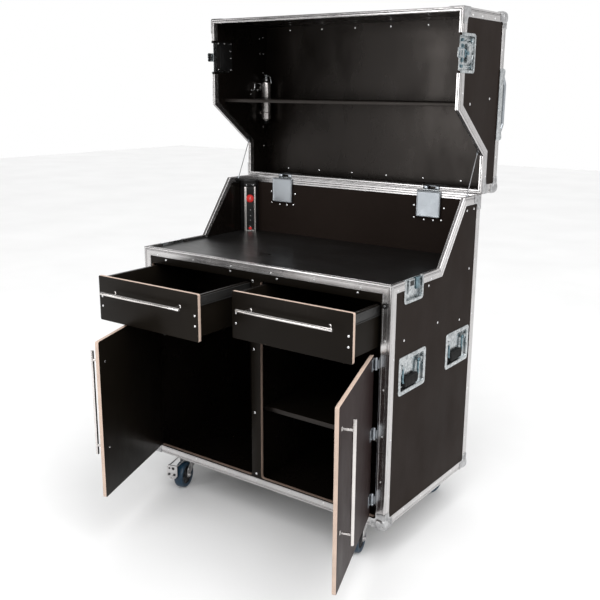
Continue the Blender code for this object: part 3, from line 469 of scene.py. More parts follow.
def tube(bm, points, radius, sides=16, radii=None, mat=0, closed=False):
    """A round bar along points, with its frame carried without twist."""
    part = bmesh.new()
    uv = part.loops.layers.uv.verify()
    pts = [Vector(p) for p in points]
    n = len(pts)
    tangents = []
    for k in range(n):
        a = pts[k - 1] if (k or closed) else pts[k]
        b = pts[(k + 1) % n] if (k < n - 1 or closed) else pts[k]
        tangents.append((b - a).normalized())
    side = tangents[0].orthogonal().normalized()
    rings, along, run = [], [], 0.0
    for k in range(n):
        if k:
            side = (side - tangents[k] * side.dot(tangents[k])).normalized()
            run += (pts[k] - pts[k - 1]).length
        other = tangents[k].cross(side)
        r = radii[k] if radii else radius
        rings.append([
            part.verts.new(pts[k] + (side * math.cos(2 * math.pi * j / sides) + other * math.sin(2 * math.pi * j / sides)) * r)
            for j in range(sides)
        ])
        along.append(run)
    for k in range(n if closed else n - 1):
        m = (k + 1) % n
        for j in range(sides):
            i = (j + 1) % sides
            face = part.faces.new((rings[k][j], rings[k][i], rings[m][i], rings[m][j]))
            at = along[m] if m else run
            values = ((along[k], j), (along[k], j + 1), (at, j + 1), (at, j))
            for loop, (u, v) in zip(face.loops, values):
                loop[uv].uv = (u, v * 2 * math.pi * radius / sides)
    if not closed:
        part.faces.new(rings[0])
        part.faces.new(rings[-1])
    for face in part.faces:
        face.material_index = mat
    add_mesh(bm, part)


def rounded(a0, b0, a1, b1, r, steps=4):
    out = []
    for ca, cb, begin in (
        (a1 - r, b0 + r, -90), (a1 - r, b1 - r, 0), (a0 + r, b1 - r, 90), (a0 + r, b0 + r, 180),
    ):
        for k in range(steps + 1):
            t = math.radians(begin + 90 * k / steps)
            out.append((ca + r * math.cos(t), cb + r * math.sin(t)))
    return out


def softened(points, radii, steps=4):
    """An outline with each corner rounded by its own radius."""
    out = []
    n = len(points)
    for k, p in enumerate(points):
        r = radii[k] if isinstance(radii, (list, tuple)) else radii
        p, a, b = Vector(p), Vector(points[k - 1]), Vector(points[(k + 1) % n])
        if r < 1e-6:
            out.append(tuple(p))
            continue
        u, v = (a - p).normalized(), (b - p).normalized()
        half = u.angle(v) / 2
        reach = min(r / math.tan(half), (a - p).length * 0.49, (b - p).length * 0.49)
        r = reach * math.tan(half)
        centre = p + (u + v).normalized() * (r / math.sin(half))
        s, e = p + u * reach - centre, p + v * reach - centre
        span = s.angle_signed(e)
        for j in range(steps + 1):
            t = -span * j / steps
            out.append((centre.x + s.x * math.cos(t) - s.y * math.sin(t), centre.y + s.x * math.sin(t) + s.y * math.cos(t)))
    return out


def board(bm, outline, h0, h1, holes=(), bevel=0.0, mats=(0, 0), matrix=None):
    """A flat piece in (a, b, h): faces of material mats[0], edges of mats[1].

    The edges' UVs run along the edge and through the thickness."""
    uv = bm.loops.layers.uv.verify()
    sheet = bmesh.new()
    suv = sheet.loops.layers.uv.verify()
    loops = []
    for loop in (outline, *holes):
        verts = [sheet.verts.new((p[0], p[1], h0)) for p in loop]
        loops.append([sheet.edges.new((verts[k], verts[(k + 1) % len(verts)])) for k in range(len(verts))])
    if holes:
        bmesh.ops.triangle_fill(sheet, use_beauty=True, edges=[e for es in loops for e in es])
    else:
        sheet.faces.new([v for v in sheet.verts])
    rim = [e for e in sheet.edges if len(e.link_faces) == 1]
    grown = bmesh.ops.extrude_face_region(sheet, geom=list(sheet.faces))
    tops = [g for g in grown["geom"] if isinstance(g, bmesh.types.BMVert)]
    bmesh.ops.translate(sheet, verts=tops, vec=(0, 0, h1 - h0))
    bmesh.ops.recalc_face_normals(sheet, faces=sheet.faces)
    if bevel:
        sheet.normal_update()
        sharp = [
            e for e in sheet.edges
            if len(e.link_faces) == 2 and abs(abs(e.link_faces[0].normal.z) - abs(e.link_faces[1].normal.z)) > 0.5
        ]
        bmesh.ops.bevel(sheet, geom=sharp, offset=bevel, segments=2, profile=0.5, affect="EDGES", clamp_overlap=True)
    sheet.normal_update()
    for face in sheet.faces:
        flat = abs(face.normal.z) > 0.8
        face.material_index = mats[0] if flat else mats[1]
        if flat:
            for loop in face.loops:
                loop[suv].uv = (loop.vert.co.x, loop.vert.co.y)
        else:
            t = Vector((0, 0, 1)).cross(face.normal)
            t = t.normalized() if t.length > 1e-6 else Vector((1, 0, 0))
            for loop in face.loops:
                loop[suv].uv = (loop.vert.co.dot(t), loop.vert.co.z - h0)
    if matrix is not None:
        sheet.transform(matrix)
    add_mesh(bm, sheet)


def add_mesh(bm, other):
    """Moves another bmesh's geometry, UVs and material numbers into this one."""
    uv = bm.loops.layers.uv.verify()
    ouv = other.loops.layers.uv.verify()
    made = {v: bm.verts.new(v.co) for v in other.verts}
    for face in other.faces:
        corners = [made[v] for v in face.verts]
        if bm.faces.get(corners):
            continue
        new = bm.faces.new(corners)
        new.material_index = face.material_index
        for a, b in zip(new.loops, face.loops):
            a[uv].uv = b[ouv].uv
    other.free()


def loft(bm, layers, mat=0):
    """Joins outlines with the same number of points, each [(a, b)], at heights."""
    part = bmesh.new()
    uv = part.loops.layers.uv.verify()
    rings = [[part.verts.new((a, b, h)) for a, b in outline] for outline, h in layers]
    n = len(rings[0])
    for one, two in zip(rings, rings[1:]):
        for k in range(n):
            m = (k + 1) % n
            part.faces.new((one[k], one[m], two[m], two[k]))
    part.faces.new(rings[0])
    part.faces.new(rings[-1])
    for face in part.faces:
        face.material_index = mat
        for loop in face.loops:
            loop[uv].uv = (loop.vert.co.x, loop.vert.co.y + loop.vert.co.z)
    add_mesh(bm, part)


def swept(bm, rings, dark=(), mat=0, shade_mat=1):
    """A closed section carried round a closed path: rings[j][k] is section point j at path point k. Spans listed in
    dark take the second material, painted shade in the grooves.
    """
    uv = bm.loops.layers.uv.verify()
    vs = [[bm.verts.new(p) for p in ring] for ring in rings]
    count, path = len(rings), len(rings[0])
    s = [0.0]
    for j in range(count):
        s.append(s[-1] + (rings[(j + 1) % count][0] - rings[j][0]).length)
    for k in range(path):
        m = (k + 1) % path
        d = (rings[0][m] - rings[0][k]).normalized()
        for j in range(count):
            n = (j + 1) % count
            face = bm.faces.new((vs[j][k], vs[j][m], vs[n][m], vs[n][k]))
            face.material_index = shade_mat if j in dark else mat
            for loop, v in zip(face.loops, (s[j], s[j], s[j + 1], s[j + 1])):
                loop[uv].uv = (loop.vert.co.dot(d) + k * 0.373, v + k * 0.0517)


def inset(poly, dists):
    out = []
    n = len(poly)
    for k in range(n):
        p, a, b = Vector(poly[k]), Vector(poly[k - 1]), Vector(poly[(k + 1) % n])
        e1, e2 = (p - a).normalized(), (b - p).normalized()
        n1, n2 = Vector((-e1.y, e1.x)), Vector((-e2.y, e2.x))
        d1, d2 = dists[k - 1], dists[k]
        det = n1.x * n2.y - n1.y * n2.x
        out.append(p + Vector(((d1 * n2.y - d2 * n1.y) / det, (n1.x * d2 - n2.x * d1) / det)))
    return out


CURVE_R = 0.0035
ARC = [(CURVE_R - CURVE_R * math.cos(math.radians(t)), -CURVE_R + CURVE_R * math.sin(math.radians(t))) for t in (45, 60, 75, 90)]


def groove(at, width, depth, slope=0.0004):
    return [(at, 0.0), (at + slope, -depth), (at + width - slope, -depth), (at + width, 0.0)]


STRIP = ARC + groove(0.0064, 0.0020, 0.0009) + groove(0.0104, 0.0014, 0.0007) + [(0.0252, 0.0)] + [
    (0.0256, 0.0004), (0.0268, 0.0004), (0.0272, 0.0), (0.0293, 0.0), (0.0300, -0.0007), (0.0300, -AL), (AL, -AL),
]
# section spans of the groove floors, which take the painted shade
STRIP_SHADED = (5, 9)


def strip_ring(bm, poly, widths, face):
    """The riveted edge strip round one face of a body, mitred at the corners."""
    part = bmesh.new()
    rings = []
    for i, h in STRIP:
        rings.append([Vector((p.x, p.y, h)) for p in inset(poly, [i * w / 0.030 for w in widths])])
    swept(part, rings, dark=STRIP_SHADED)
    part.transform(FACE[face])
    return part


SLOPE = math.atan2(HC - HF, YT - YS)
HALF = math.tan(SLOPE / 2)
LEG = 0.0225


def rim_ring(low):
    """The rim of the body (low) or of the lid: a grooved lip and an inner leg."""
    section = ARC + groove(0.0062, 0.0030, 0.0015) + [(0.0132, 0.0), (0.0140, -0.0008)]
    section += [(0.0140, -0.0060), (0.0132, -0.0063), (0.0132, -0.0083), (0.0140, -0.0086)]
    section += [(0.0140, -0.0142), (0.0132, -0.0145), (0.0132, -0.0165), (0.0140, -0.0168)]
    section += [(0.0140, -LEG + 0.0006), (0.0134, -LEG), (0.0121, -LEG), (0.0121, -0.0019), (0.0019, -0.0019)]
    rings = []
    for i, h in section:
        if low:
            f, b, s, t = HF + h, HC + h, YS - h * HALF, YT - h * HALF
            if h < -0.002:
                f = max(f, TOP_Z + 0.0004)
        else:
            f, b, s, t = RIM_F - h, RIM_C - h, YS + h * HALF, YT + h * HALF
        rings.append([Vector(p) for p in (
            (i, i, f), (W - i, i, f), (W - i, s, f), (W - i, t, b),
            (W - i, D - i, b), (i, D - i, b), (i, t, b), (i, s, f),
        )])
    part = bmesh.new()
    # the groove floor and the notches of the inner leg take the painted shade
    swept(part, rings, dark=(5, 11, 15))
    return part


def solid_cut(part, boxes):
    """Cuts boxes out of a closed mesh and hands the result back."""
    if not boxes:
        return part
    bmesh.ops.remove_doubles(part, verts=part.verts, dist=1e-6)
    bmesh.ops.dissolve_degenerate(part, edges=part.edges, dist=1e-7)
    bmesh.ops.recalc_face_normals(part, faces=part.faces)
    mesh = bpy.data.meshes.new("work")
    part.to_mesh(mesh)
    part.free()
    for paint in (ALU, ALU_GROOVE_SHADE):
        mesh.materials.append(paint)
    obj = bpy.data.objects.new("work", mesh)
    bpy.context.scene.collection.objects.link(obj)
    tools = []
    for low, high in boxes:
        bm = bmesh.new()
        box(bm, low, high)
        bmesh.ops.recalc_face_normals(bm, faces=bm.faces)
        tool_mesh = bpy.data.meshes.new("tool")
        bm.to_mesh(tool_mesh)
        bm.free()
        tool_mesh.materials.append(ALU)
        tool_mesh.materials.append(ALU_GROOVE_SHADE)
        tool = bpy.data.objects.new("tool", tool_mesh)
        bpy.context.scene.collection.objects.link(tool)
        tools.append(tool)
        step = obj.modifiers.new("cut", "BOOLEAN")
        step.operation = "DIFFERENCE"
        step.solver = "EXACT"
        step.object = tool
    bpy.context.view_layer.update()
    graph = bpy.context.evaluated_depsgraph_get()
    result = bpy.data.meshes.new_from_object(obj.evaluated_get(graph))
    out = bmesh.new()
    out.from_mesh(result)
    for gone in [obj, *tools]:
        data = gone.data
        bpy.data.objects.remove(gone, do_unlink=True)
        bpy.data.meshes.remove(data)
    bpy.data.meshes.remove(result)
    return out


def rivet(bm, at, out, r=0.0033, h=0.0013, mat=0):
    """A blind rivet: low domed flange with the pulled stem's dimple."""
    lathe(bm, [(0, -0.0004), (r, -0.0004), (r, h * 0.25), (r * 0.86, h * 0.72), (r * 0.58, h), (r * 0.38, h),
               (r * 0.30, h * 0.55), (0, h * 0.50)], aim(at, out), 14, mat)


def screw(bm, at, out, r=0.0036, h=0.0012, mat=0, recess=1):
    """A countersunk or pan head; its driver recess is filled with near-black as painted shade."""
    lathe(bm, [(0, -0.0004), (r, -0.0004), (r, h * 0.3), (r * 0.88, h * 0.75), (r * 0.62, h), (r * 0.40, h)]
          , aim(at, out), 16, mat)
    lathe(bm, [(0, h * 0.2), (r * 0.38, h * 0.2), (r * 0.42, h * 1.04), (0, h * 0.62)], aim(at, out), 8, recess)


def on_face(face, a, b, h=0.0):
    m = FACE[face]
    return m @ Vector((a, b, h)), (m.to_3x3() @ Vector((0, 0, 1))).normalized()


# =================================================== edge strips of the body
def body_poly():
    return [(0, 0), (D, 0), (D, HC), (YT, HC), (YS, HF), (0, HF)]


def lid_poly():
    return [(0, RIM_F), (YS, RIM_F), (YT, RIM_C), (D, RIM_C), (D, LID_TOP), (0, LID_TOP)]


def latch_boxes(low, high):
    y0, y1 = LATCH_Y - LATCH_W / 2 - GAP, LATCH_Y + LATCH_W / 2 + GAP
    return [((-0.01, y0, low), (0.0155, y1, high)), ((W - 0.0155, y0, low), (W + 0.01, y1, high))]


strips = bmesh.new()
for face in SIDES:
    add_mesh(strips, solid_cut(strip_ring(strips, body_poly(), [0.030] * 6, face), latch_boxes(HF - KEEPER_H - GAP, HF + 0.01)))
add_mesh(strips, strip_ring(strips, [(0, 0), (W, 0), (W, HF), (0, HF)], [0.030, 0.033, 0.030, 0.033], "front"))
hinge_gaps = [((c - HINGE_NOTCH, D - 0.03, HC - 0.0135), (c + HINGE_NOTCH, D + 0.01, HC + 0.01)) for c in HINGE_X]
add_mesh(strips, solid_cut(strip_ring(strips, [(0, 0), (W, 0), (W, HC), (0, HC)], [0.030] * 4, "back"), hinge_gaps))
add_mesh(strips, strip_ring(strips, [(0, 0), (W, 0), (W, D), (0, D)], [0.030] * 4, "bottom"))
leg_gaps = [((c - 0.0485, D - 0.03, HC - 0.04), (c + 0.0485, D - 0.0110, HC - 0.0125)) for c in HINGE_X]
ring = solid_cut(rim_ring(True), latch_boxes(HF - 0.030, HF + 0.01) + hinge_gaps + leg_gaps)
# the stretch of the rim in front of each keeper comes out whole, and the two ends are closed
for low, high in latch_boxes(HF - 0.030, HF + 0.01):
    inside = [f for f in ring.faces if all(low[k] - 1e-4 <= v.co[k] <= high[k] + 1e-4 for v in f.verts for k in range(3))]
    bmesh.ops.delete(ring, geom=inside, context="FACES")
    bmesh.ops.remove_doubles(ring, verts=ring.verts, dist=1e-6)
    ends = [e for e in ring.edges if e.is_boundary and all(min(abs(v.co.y - low[1]), abs(v.co.y - high[1])) < 2e-4 for v in e.verts)]
    bmesh.ops.holes_fill(ring, edges=ends, sides=0)
add_mesh(strips, ring)
finish("edge_strips_body", strips, "case", (ALU, ALU_GROOVE_SHADE), ("base_edge_frame",))

# ==================================================== edge strips of the lid
strips = bmesh.new()
for face in SIDES:
    add_mesh(strips, solid_cut(strip_ring(strips, lid_poly(), [0.030] * 6, face), latch_boxes(HF - 0.02, RIM_F + LATCH_H + GAP)))
add_mesh(strips, strip_ring(strips, [(0, RIM_F), (W, RIM_F), (W, LID_TOP), (0, LID_TOP)], [0.030] * 4, "front"))
lid_gaps = [((c - HINGE_NOTCH, D - 0.03, HC - 0.01), (c + HINGE_NOTCH, D + 0.01, HC + 0.0135)) for c in HINGE_X]
add_mesh(strips, solid_cut(strip_ring(strips, [(0, RIM_C), (W, RIM_C), (W, LID_TOP), (0, LID_TOP)], [0.030] * 4, "back"), lid_gaps))
add_mesh(strips, strip_ring(strips, [(0, 0), (W, 0), (W, D), (0, D)], [0.030] * 4, "top"))
lid_leg_gaps = [((c - 0.0430, D - 0.03, HC + 0.0125), (c + 0.0430, D - 0.0110, HC + 0.04)) for c in HINGE_X]
add_mesh(strips, solid_cut(rim_ring(False), latch_boxes(HF - 0.02, RIM_F + 0.026) + lid_gaps + lid_leg_gaps))
finish("edge_strips_lid", strips, "lid", (ALU, ALU_GROOVE_SHADE), ("lid_edge_frame",))

# ------------------------------------------------------------ rivets, strips
def spread(low, high, count):
    return [low + (high - low) * k / (count - 1) for k in range(count)]


def many_rivets(bm, face, points, h=0.0):
    for a, b in points:
        at, out = on_face(face, a, b, h)
        rivet(bm, at, out)


bm = bmesh.new()
for face in SIDES:
    y_in, y_back = 0.0245, D - 0.0245
    many_rivets(bm, face, [(y_in, z) for z in (0.1112, 0.3006, 0.5636)])
    many_rivets(bm, face, [(y_back, z) for z in (0.1222, 0.3126, 0.5932, 0.7900)])
    many_rivets(bm, face, [(y, 0.0225) for y in spread(0.125, D - 0.125, 4)])
    many_rivets(bm, face, [(0.038, HF - 0.0225), (0.250, HF - 0.0225)])
    many_rivets(bm, face, [(YS + 0.030 + 0.014, HF + 0.030), (YS + 0.116, HF + 0.124)])
many_rivets(bm, "front", [(x, z) for x in (0.0190, W - 0.0190) for z in (0.1627, 0.3152, 0.4688, 0.6255)])
many_rivets(bm, "front", [(x, 0.0220) for x in spread(0.090, W - 0.090, 7)])
many_rivets(bm, "front", [(x, HF - 0.0225) for x in spread(0.070, W - 0.110, 6)])
many_rivets(bm, "back", [(x, z) for x in (0.0225, W - 0.0225) for z in (0.12, 0.32, 0.52, 0.72, 0.92)])
many_rivets(bm, "back", [(x, z) for z in (0.0225, HC - 0.0225) for x in spread(0.30, W - 0.30, 3)] + [(0.09, 0.0225), (W - 0.09, 0.0225), (0.09, HC - 0.0225), (W - 0.09, HC - 0.0225)])
many_rivets(bm, "bottom", [(x, y) for y in (0.0225, D - 0.0225) for x in spread(0.16, W - 0.16, 5)])
finish("rivets_body", bm, "case", (RIVET,))

bm = bmesh.new()
for face in SIDES:
    many_rivets(bm, face, [(0.0225, z) for z in (0.868, 0.940, 1.040)])
    many_rivets(bm, face, [(D - 0.0225, z) for z in (1.058, )])
    many_rivets(bm, face, [(y, LID_TOP - 0.0225) for y in (0.120, 0.240, 0.360, 0.480)])
    many_rivets(bm, face, [(0.030, RIM_F + 0.0225), (0.262, RIM_F + 0.0225), (D - 0.060, RIM_C + 0.0225)])
many_rivets(bm, "front", [(x, z) for z in (RIM_F + 0.0225, LID_TOP - 0.0225) for x in spread(0.10, W - 0.10, 6)])
many_rivets(bm, "front", [(x, z) for x in (0.0225, W - 0.0225) for z in (0.900, 1.035)])
many_rivets(bm, "back", [(x, LID_TOP - 0.0225) for x in spread(0.10, W - 0.10, 6)])
many_rivets(bm, "back", [(x, RIM_C + 0.0225) for x in (0.09, 0.32, 0.52, 0.72, W - 0.09)])
many_rivets(bm, "top", [(x, y) for y in (0.0225, D - 0.0225) for x in spread(0.12, W - 0.12, 6)])
many_rivets(bm, "top", [(x, y) for x in (0.0225, W - 0.0225) for y in (0.130, 0.470)])
finish("rivets_lid", bm, "lid", (RIVET,))


# ------------------------------------------------ ball corners and flat braces
def leg_outline(length=0.052, width=0.0290):
    r = length - 0.009 - width
    c = length - 0.009
    pts = [(0.0, 0.0), (length - 0.003, 0.0), (length, 0.003), (length, width - 0.004), (length - 0.004, width)]
    for k in range(9):
        t = math.radians(270 - 90 * k / 8)
        pts.append((c + r * math.cos(t), c + r * math.sin(t)))
    return pts + [(width, length - 0.004), (width - 0.004, length), (0.003, length), (0.0, length - 0.003)]


def corner_frame(sx, sy, sz, at):
    """(p, q, s) pointing outwards from a corner of a body."""
    return Matrix((
        (sx, 0, 0, at[0]), (0, sy, 0, at[1]), (0, 0, sz, at[2]), (0, 0, 0, 1),
    ))


# each face of a corner: (p, q, s) axes that a flange's (a, b, h) stand for, a and b pointing in
CORNER_FACES = (
    Matrix(((-1, 0, 0, 0), (0, -1, 0, 0), (0, 0, 1, 0), (0, 0, 0, 1))),
    Matrix(((-1, 0, 0, 0), (0, 0, 1, 0), (0, -1, 0, 0), (0, 0, 0, 1))),
    Matrix(((0, 0, 1, 0), (-1, 0, 0, 0), (0, -1, 0, 0), (0, 0, 0, 1))),
)


def ball_corner(name, body, signs, at):
    bm = bmesh.new()
    place = corner_frame(*signs, at)
    for face in CORNER_FACES:
        m = place @ face
        board(bm, leg_outline(), 0.0001, 0.0015, bevel=0.0005, matrix=m)
        for a0, a1, b in ((0.0330, 0.0460, 0.0080), (0.0330, 0.0485, 0.0140), (0.0330, 0.0460, 0.0200)):
            for flip in (False, True):
                out = rounded(a0, b - 0.0011, a1, b + 0.0011, 0.0010, 3)
                if flip:
                    out = [(q, p) for p, q in out]
                board(bm, out, 0.0010, 0.0026, bevel=0.0006, matrix=m)
        for a, b in ((0.0462, 0.0040), (0.0040, 0.0462)):
            p = m @ Vector((a, b, 0.0014))
            rivet(bm, p, (m.to_3x3() @ Vector((0, 0, 1))), 0.0030, 0.0013)
    power, radius, inner = 2.6, 0.0225, 0.0150
    patch = bmesh.new()
    steps = 12
    for face in CORNER_FACES:
        m = place @ face
        grid = []
        for i in range(steps + 1):
            row = []
            for j in range(steps + 1):
                s = -1.45 + 2.45 * i / steps
                t = -1.45 + 2.45 * j / steps
                k = radius / (abs(s) ** power + abs(t) ** power + 1.0) ** (1 / power)
                a, b, h = k * s, k * t, k
                h = max(h, inner - 0.0010)
                # a small pressed dimple in the crown of each face
                d = math.hypot(a + 0.0010, b + 0.0010)
                if d < 0.0050:
                    h -= 0.0020 * (1 - d / 0.0050)
                row.append(patch.verts.new(m @ Vector((inner - a, inner - b, h - inner))))
            grid.append(row)
        for i in range(steps):
            for j in range(steps):
                patch.faces.new((grid[i][j], grid[i + 1][j], grid[i + 1][j + 1], grid[i][j + 1]))
    bmesh.ops.remove_doubles(patch, verts=patch.verts, dist=1e-5)
    bmesh.ops.recalc_face_normals(patch, faces=patch.faces)
    heart = place @ Vector((-inner, -inner, -inner))
    flipped = sum((f.calc_center_median() - heart).dot(f.normal) for f in patch.faces) < 0
    if flipped:
        bmesh.ops.reverse_faces(patch, faces=patch.faces)
    bmesh.ops.solidify(patch, geom=list(patch.faces), thickness=0.0009)
    patch.loops.layers.uv.verify()
    add_mesh(bm, patch)
    return finish(name, bm, body, (CORNER,), smooth=40)


for fx, sx, x in (("left", -1, 0.0), ("right", 1, W)):
    for fy, sy, y in (("front", -1, 0.0), ("rear", 1, D)):
        ball_corner(f"ball_corner_body_{fy}_{fx}", "case", (sx, sy, -1), (x, y, 0.0))
        ball_corner(f"ball_corner_lid_{fy}_{fx}", "lid", (sx, sy, 1), (x, y, LID_TOP))

bm = bmesh.new()
lid_bm = bmesh.new()
for sx, x in ((-1, 0.0), (1, W)):
    for target, sy, sz, at in (
        (bm, 1, 1, (x, D, HC)), (lid_bm, -1, -1, (x, 0.0, RIM_F)), (lid_bm, 1, -1, (x, D, RIM_C)),
    ):
        place = corner_frame(sx, sy, sz, at)
        for face in (CORNER_FACES[2], CORNER_FACES[1]):
            m = place @ face
            plate = [(0.0012, 0.0012)] + leg_outline(0.052, 0.0285)[1:]
            board(target, plate, 0.0001, 0.0014, bevel=0.0005, matrix=m)
            for a, b in ((0.010, 0.010), (0.043, 0.014), (0.014, 0.043)):
                rivet(target, m @ Vector((a, b, 0.0013)), m.to_3x3() @ Vector((0, 0, 1)), 0.0031, 0.0013)
finish("corner_braces_body", bm, "case", (CORNER,))
finish("corner_braces_lid", lid_bm, "lid", (CORNER,))

# ============================================================== plywood fronts
def plywood(name, bm, body, replaces=(), edge=None, film=None):
    return finish(name, bm, body, (film or FRONT_LAM, edge or BIRCH), replaces, smooth=30)


bm = bmesh.new()
board(
    bm, [(INNER, PIN), (W - INNER, PIN), (W - INNER, HF - PIN), (INNER, HF - PIN)], -(PIN + BOARD), -PIN,
    holes=[rounded(x0, OPEN_Z[0], x1, OPEN_Z[1], 0.009, 5) for x0, x1 in OPEN_X],
    bevel=0.0008, mats=(0, 1), matrix=FACE["front"],
)
# the edges round the openings take the darker birch copy, painted shade
plywood("face_frame", bm, "case", replaces=("front_frame",), edge=BIRCH_SHADED)

for k, side in enumerate(SIDES):
    bm = bmesh.new()
    board(bm, rounded(DOOR_X[k][0], DOOR_Z[0], DOOR_X[k][1], DOOR_Z[1], 0.006, 5), -(PIN + BOARD), -PIN,
          bevel=0.0008, mats=(0, 1), matrix=FACE["front"])
    # the right door takes the lighter copy of the film as painted light, the left door the front film
    plywood(f"door_board_{side}", bm, f"door_leaf_{side}", replaces=(f"door_{side}",), film=LIT_DOOR_LAM if k else FRONT_LAM)
    bm = bmesh.new()
    board(bm, rounded(FRONT_X[k][0], FRONT_Z[0], FRONT_X[k][1], FRONT_Z[1], 0.005, 5), -(PIN + BOARD), -PIN,
          bevel=0.0008, mats=(0, 1), matrix=FACE["front"])
    plywood(f"drawer_face_{side}", bm, f"drawer_{side}", replaces=(f"drawer_front_{side}",))

    # drawer box of four boards and a bottom
    x0, x1 = BOX_X[k]
    y0 = PIN + BOARD + GAP
    y1 = y0 + BOX_DEPTH
    bm = bmesh.new()
    side_m = Matrix(((0, 0, 1, 0), (1, 0, 0, 0), (0, 1, 0, 0), (0, 0, 0, 1)))
    for a, b in ((x0, x0 + BOARD), (x1 - BOARD, x1)):
        board(bm, [(y0, BOX_Z[0]), (y1, BOX_Z[0]), (y1, BOX_Z[1]), (y0, BOX_Z[1])], a, b, bevel=0.0006, mats=(0, 1), matrix=side_m)
    ends_m = Matrix(((1, 0, 0, 0), (0, 0, 1, 0), (0, 1, 0, 0), (0, 0, 0, 1)))
    for a, b in ((y0, y0 + BOARD), (y1 - BOARD, y1)):
        board(bm, [(x0 + BOARD, BOX_Z[0]), (x1 - BOARD, BOX_Z[0]), (x1 - BOARD, BOX_Z[1]), (x0 + BOARD, BOX_Z[1])], a, b, bevel=0.0006, mats=(0, 1), matrix=ends_m)
    box(bm, (x0 + BOARD, y0 + BOARD, BOX_Z[0] + 0.0005), (x1 - BOARD, y1 - BOARD, BOX_Z[0] + 0.009), 0.0003)
    plywood(f"drawer_boards_{side}", bm, f"drawer_{side}", replaces=(f"drawer_box_{side}",), edge=EDGE_BAND)

bm = bmesh.new()
board(bm, rounded(INNER, 0.859, W - INNER, LID_TOP - INNER, 0.001, 1), -0.304, -0.292, bevel=0.0008, mats=(0, 1), matrix=FACE["front"])
plywood("lid_shelf_board", bm, "lid", replaces=("lid_shelf",), edge=EDGE_BAND)

bm = bmesh.new()
board(bm, [(0.526 + GAP, 0.045), (W - INNER, 0.045), (W - INNER, D - INNER), (0.526 + GAP, D - INNER)], 0.272, 0.288,
      bevel=0.0008, mats=(0, 1), matrix=Matrix.Identity(4))
plywood("shelf_board", bm, "case", replaces=("shelf_right",), edge=EDGE_BAND)

# CAD panels that stay, with their film and a softened arris
for name in ("side_panel_left", "side_panel_right", "back_panel", "bottom_panel", "lid_side_left", "lid_side_right",
             "lid_top_panel", "lid_front_panel", "lid_rear_panel", "centre_divider"):
    NODES[name].data.materials.clear()
    # the right side panels and the back panel take the lighter copy of the film as painted light
    NODES[name].data.materials.append(LIT_SIDE_LAM if name in ("side_panel_right", "lid_side_right", "back_panel") else LAMINATE)
NODES["worktop"].data.materials.clear()
NODES["worktop"].data.materials.append(COUNTER)
soft = NODES["worktop"].modifiers.new("arris", "BEVEL")
soft.width, soft.segments = 0.0010, 2


# ============================================================ screws in panels
def screws(name, body, places, paints=(SCREW, RECESS)):
    bm = bmesh.new()
    for at, out, r in places:
        screw(bm, Vector(at), Vector(out), r)
    return finish(name, bm, body, paints)


front_y = PIN
spots = [((x, front_y, 0.760), (0, -1, 0), 0.0046) for x in (0.107, 0.410, 0.609, 0.919)]
spots += [((x, front_y, z), (0, -1, 0), 0.0046) for x, z in ((0.507, 0.740), (0.510, 0.503), (0.513, 0.2735), (0.519, 0.045))]
for x in (0.0, W):
    out = (-1, 0, 0) if x == 0.0 else (1, 0, 0)
    px = PIN if x == 0.0 else W - PIN
    spots += [((px, y, z), out, 0.0042) for y, z in (
        (0.4966, 0.9667), (0.5505, 0.9679), (0.5376, 0.7619), (0.2393, 0.7560), (0.3149, 0.6168), (0.4810, 0.5899),
        (0.0890, 0.6095))]
spots += [((x, D - PIN, z), (0, 1, 0), 0.0042) for x in (0.060, 0.520, 0.980) for z in (0.060, 0.280, 0.520, 0.780)]
spots += [((x, D - PIN, 0.781), (0, 1, 0), 0.0042) for x in (0.2, 0.36, 0.68, 0.84)]
# round each hinge cover, through the back panel
for c in HINGE_X:
    zb = HC - 0.013 - 0.083
    spots += [((c + dx, D - INNER, zb + dz), (0, -1, 0), 0.0038) for dx, dz in (
        (-0.061, 0.038), (0.059, 0.036), (-0.059, -0.006), (-0.018, -0.011), (0.018, -0.011), (0.050, -0.008))]
screws("panel_screws_body", "case", spots)

# inside the open lid: the panel screws that the photograph shows as points of light
spots = [((x, 0.600 - (1.587 - 1.013), LID_TOP - PIN - PLY), (0, 0, -1), 0.0036) for x in (0.131, 0.286, 0.439, 0.595, 0.750, 0.905)]
spots += [((x, D - (1.040 - HC), LID_TOP - PIN - PLY), (0, 0, -1), 0.0036) for x in (0.125, 0.281, 0.438, 0.595, 0.754, 0.908)]
for x, out in ((INNER - GAP, (1, 0, 0)), (W - INNER + GAP, (-1, 0, 0))):
    spots += [((x, y, z), out, 0.0040) for y, z in (
        (0.0573, 1.082), (0.0512, 1.1050), (0.1160, 1.1071), (0.1152, 1.0850), (0.1901, 1.1050), (0.2764, 1.0230),
        (0.4065, 1.1050), (0.4850, 1.1092))]
for x, out in ((PIN, (-1, 0, 0)), (W - PIN, (1, 0, 0))):
    spots += [((x, y, z), out, 0.0044) for y, z in ((0.2802, 1.0369), (0.2963, 0.8848))]
spots += [((x, y, LID_TOP - PIN), (0, 0, 1), 0.0042) for x in (0.15, 0.52, 0.89) for y in (0.298,)]
spots += [((x, PIN, 0.950), (0, -1, 0), 0.0042) for x in (0.06, 0.98)]
screws("panel_screws_lid", "lid", spots)

for k, side in enumerate(SIDES):
    fx0, fx1 = FRONT_X[k]
    spots = [((x, front_y, z), (0, -1, 0), 0.0040) for x in (fx0 + 0.0150, fx1 - 0.0150) for z in (0.6700, 0.6365)]
    screws(f"drawer_screws_{side}", f"drawer_{side}", spots)
    hx = (0.458, 0.574)[k]
    mid = (0.353, 0.359)[k]
    spots = [((hx, PIN + BOARD, mid + s * POST_GAP / 2), (0, 1, 0), 0.0046) for s in (-1, 1)]
    screws(f"door_bolts_{side}", f"door_leaf_{side}", spots)

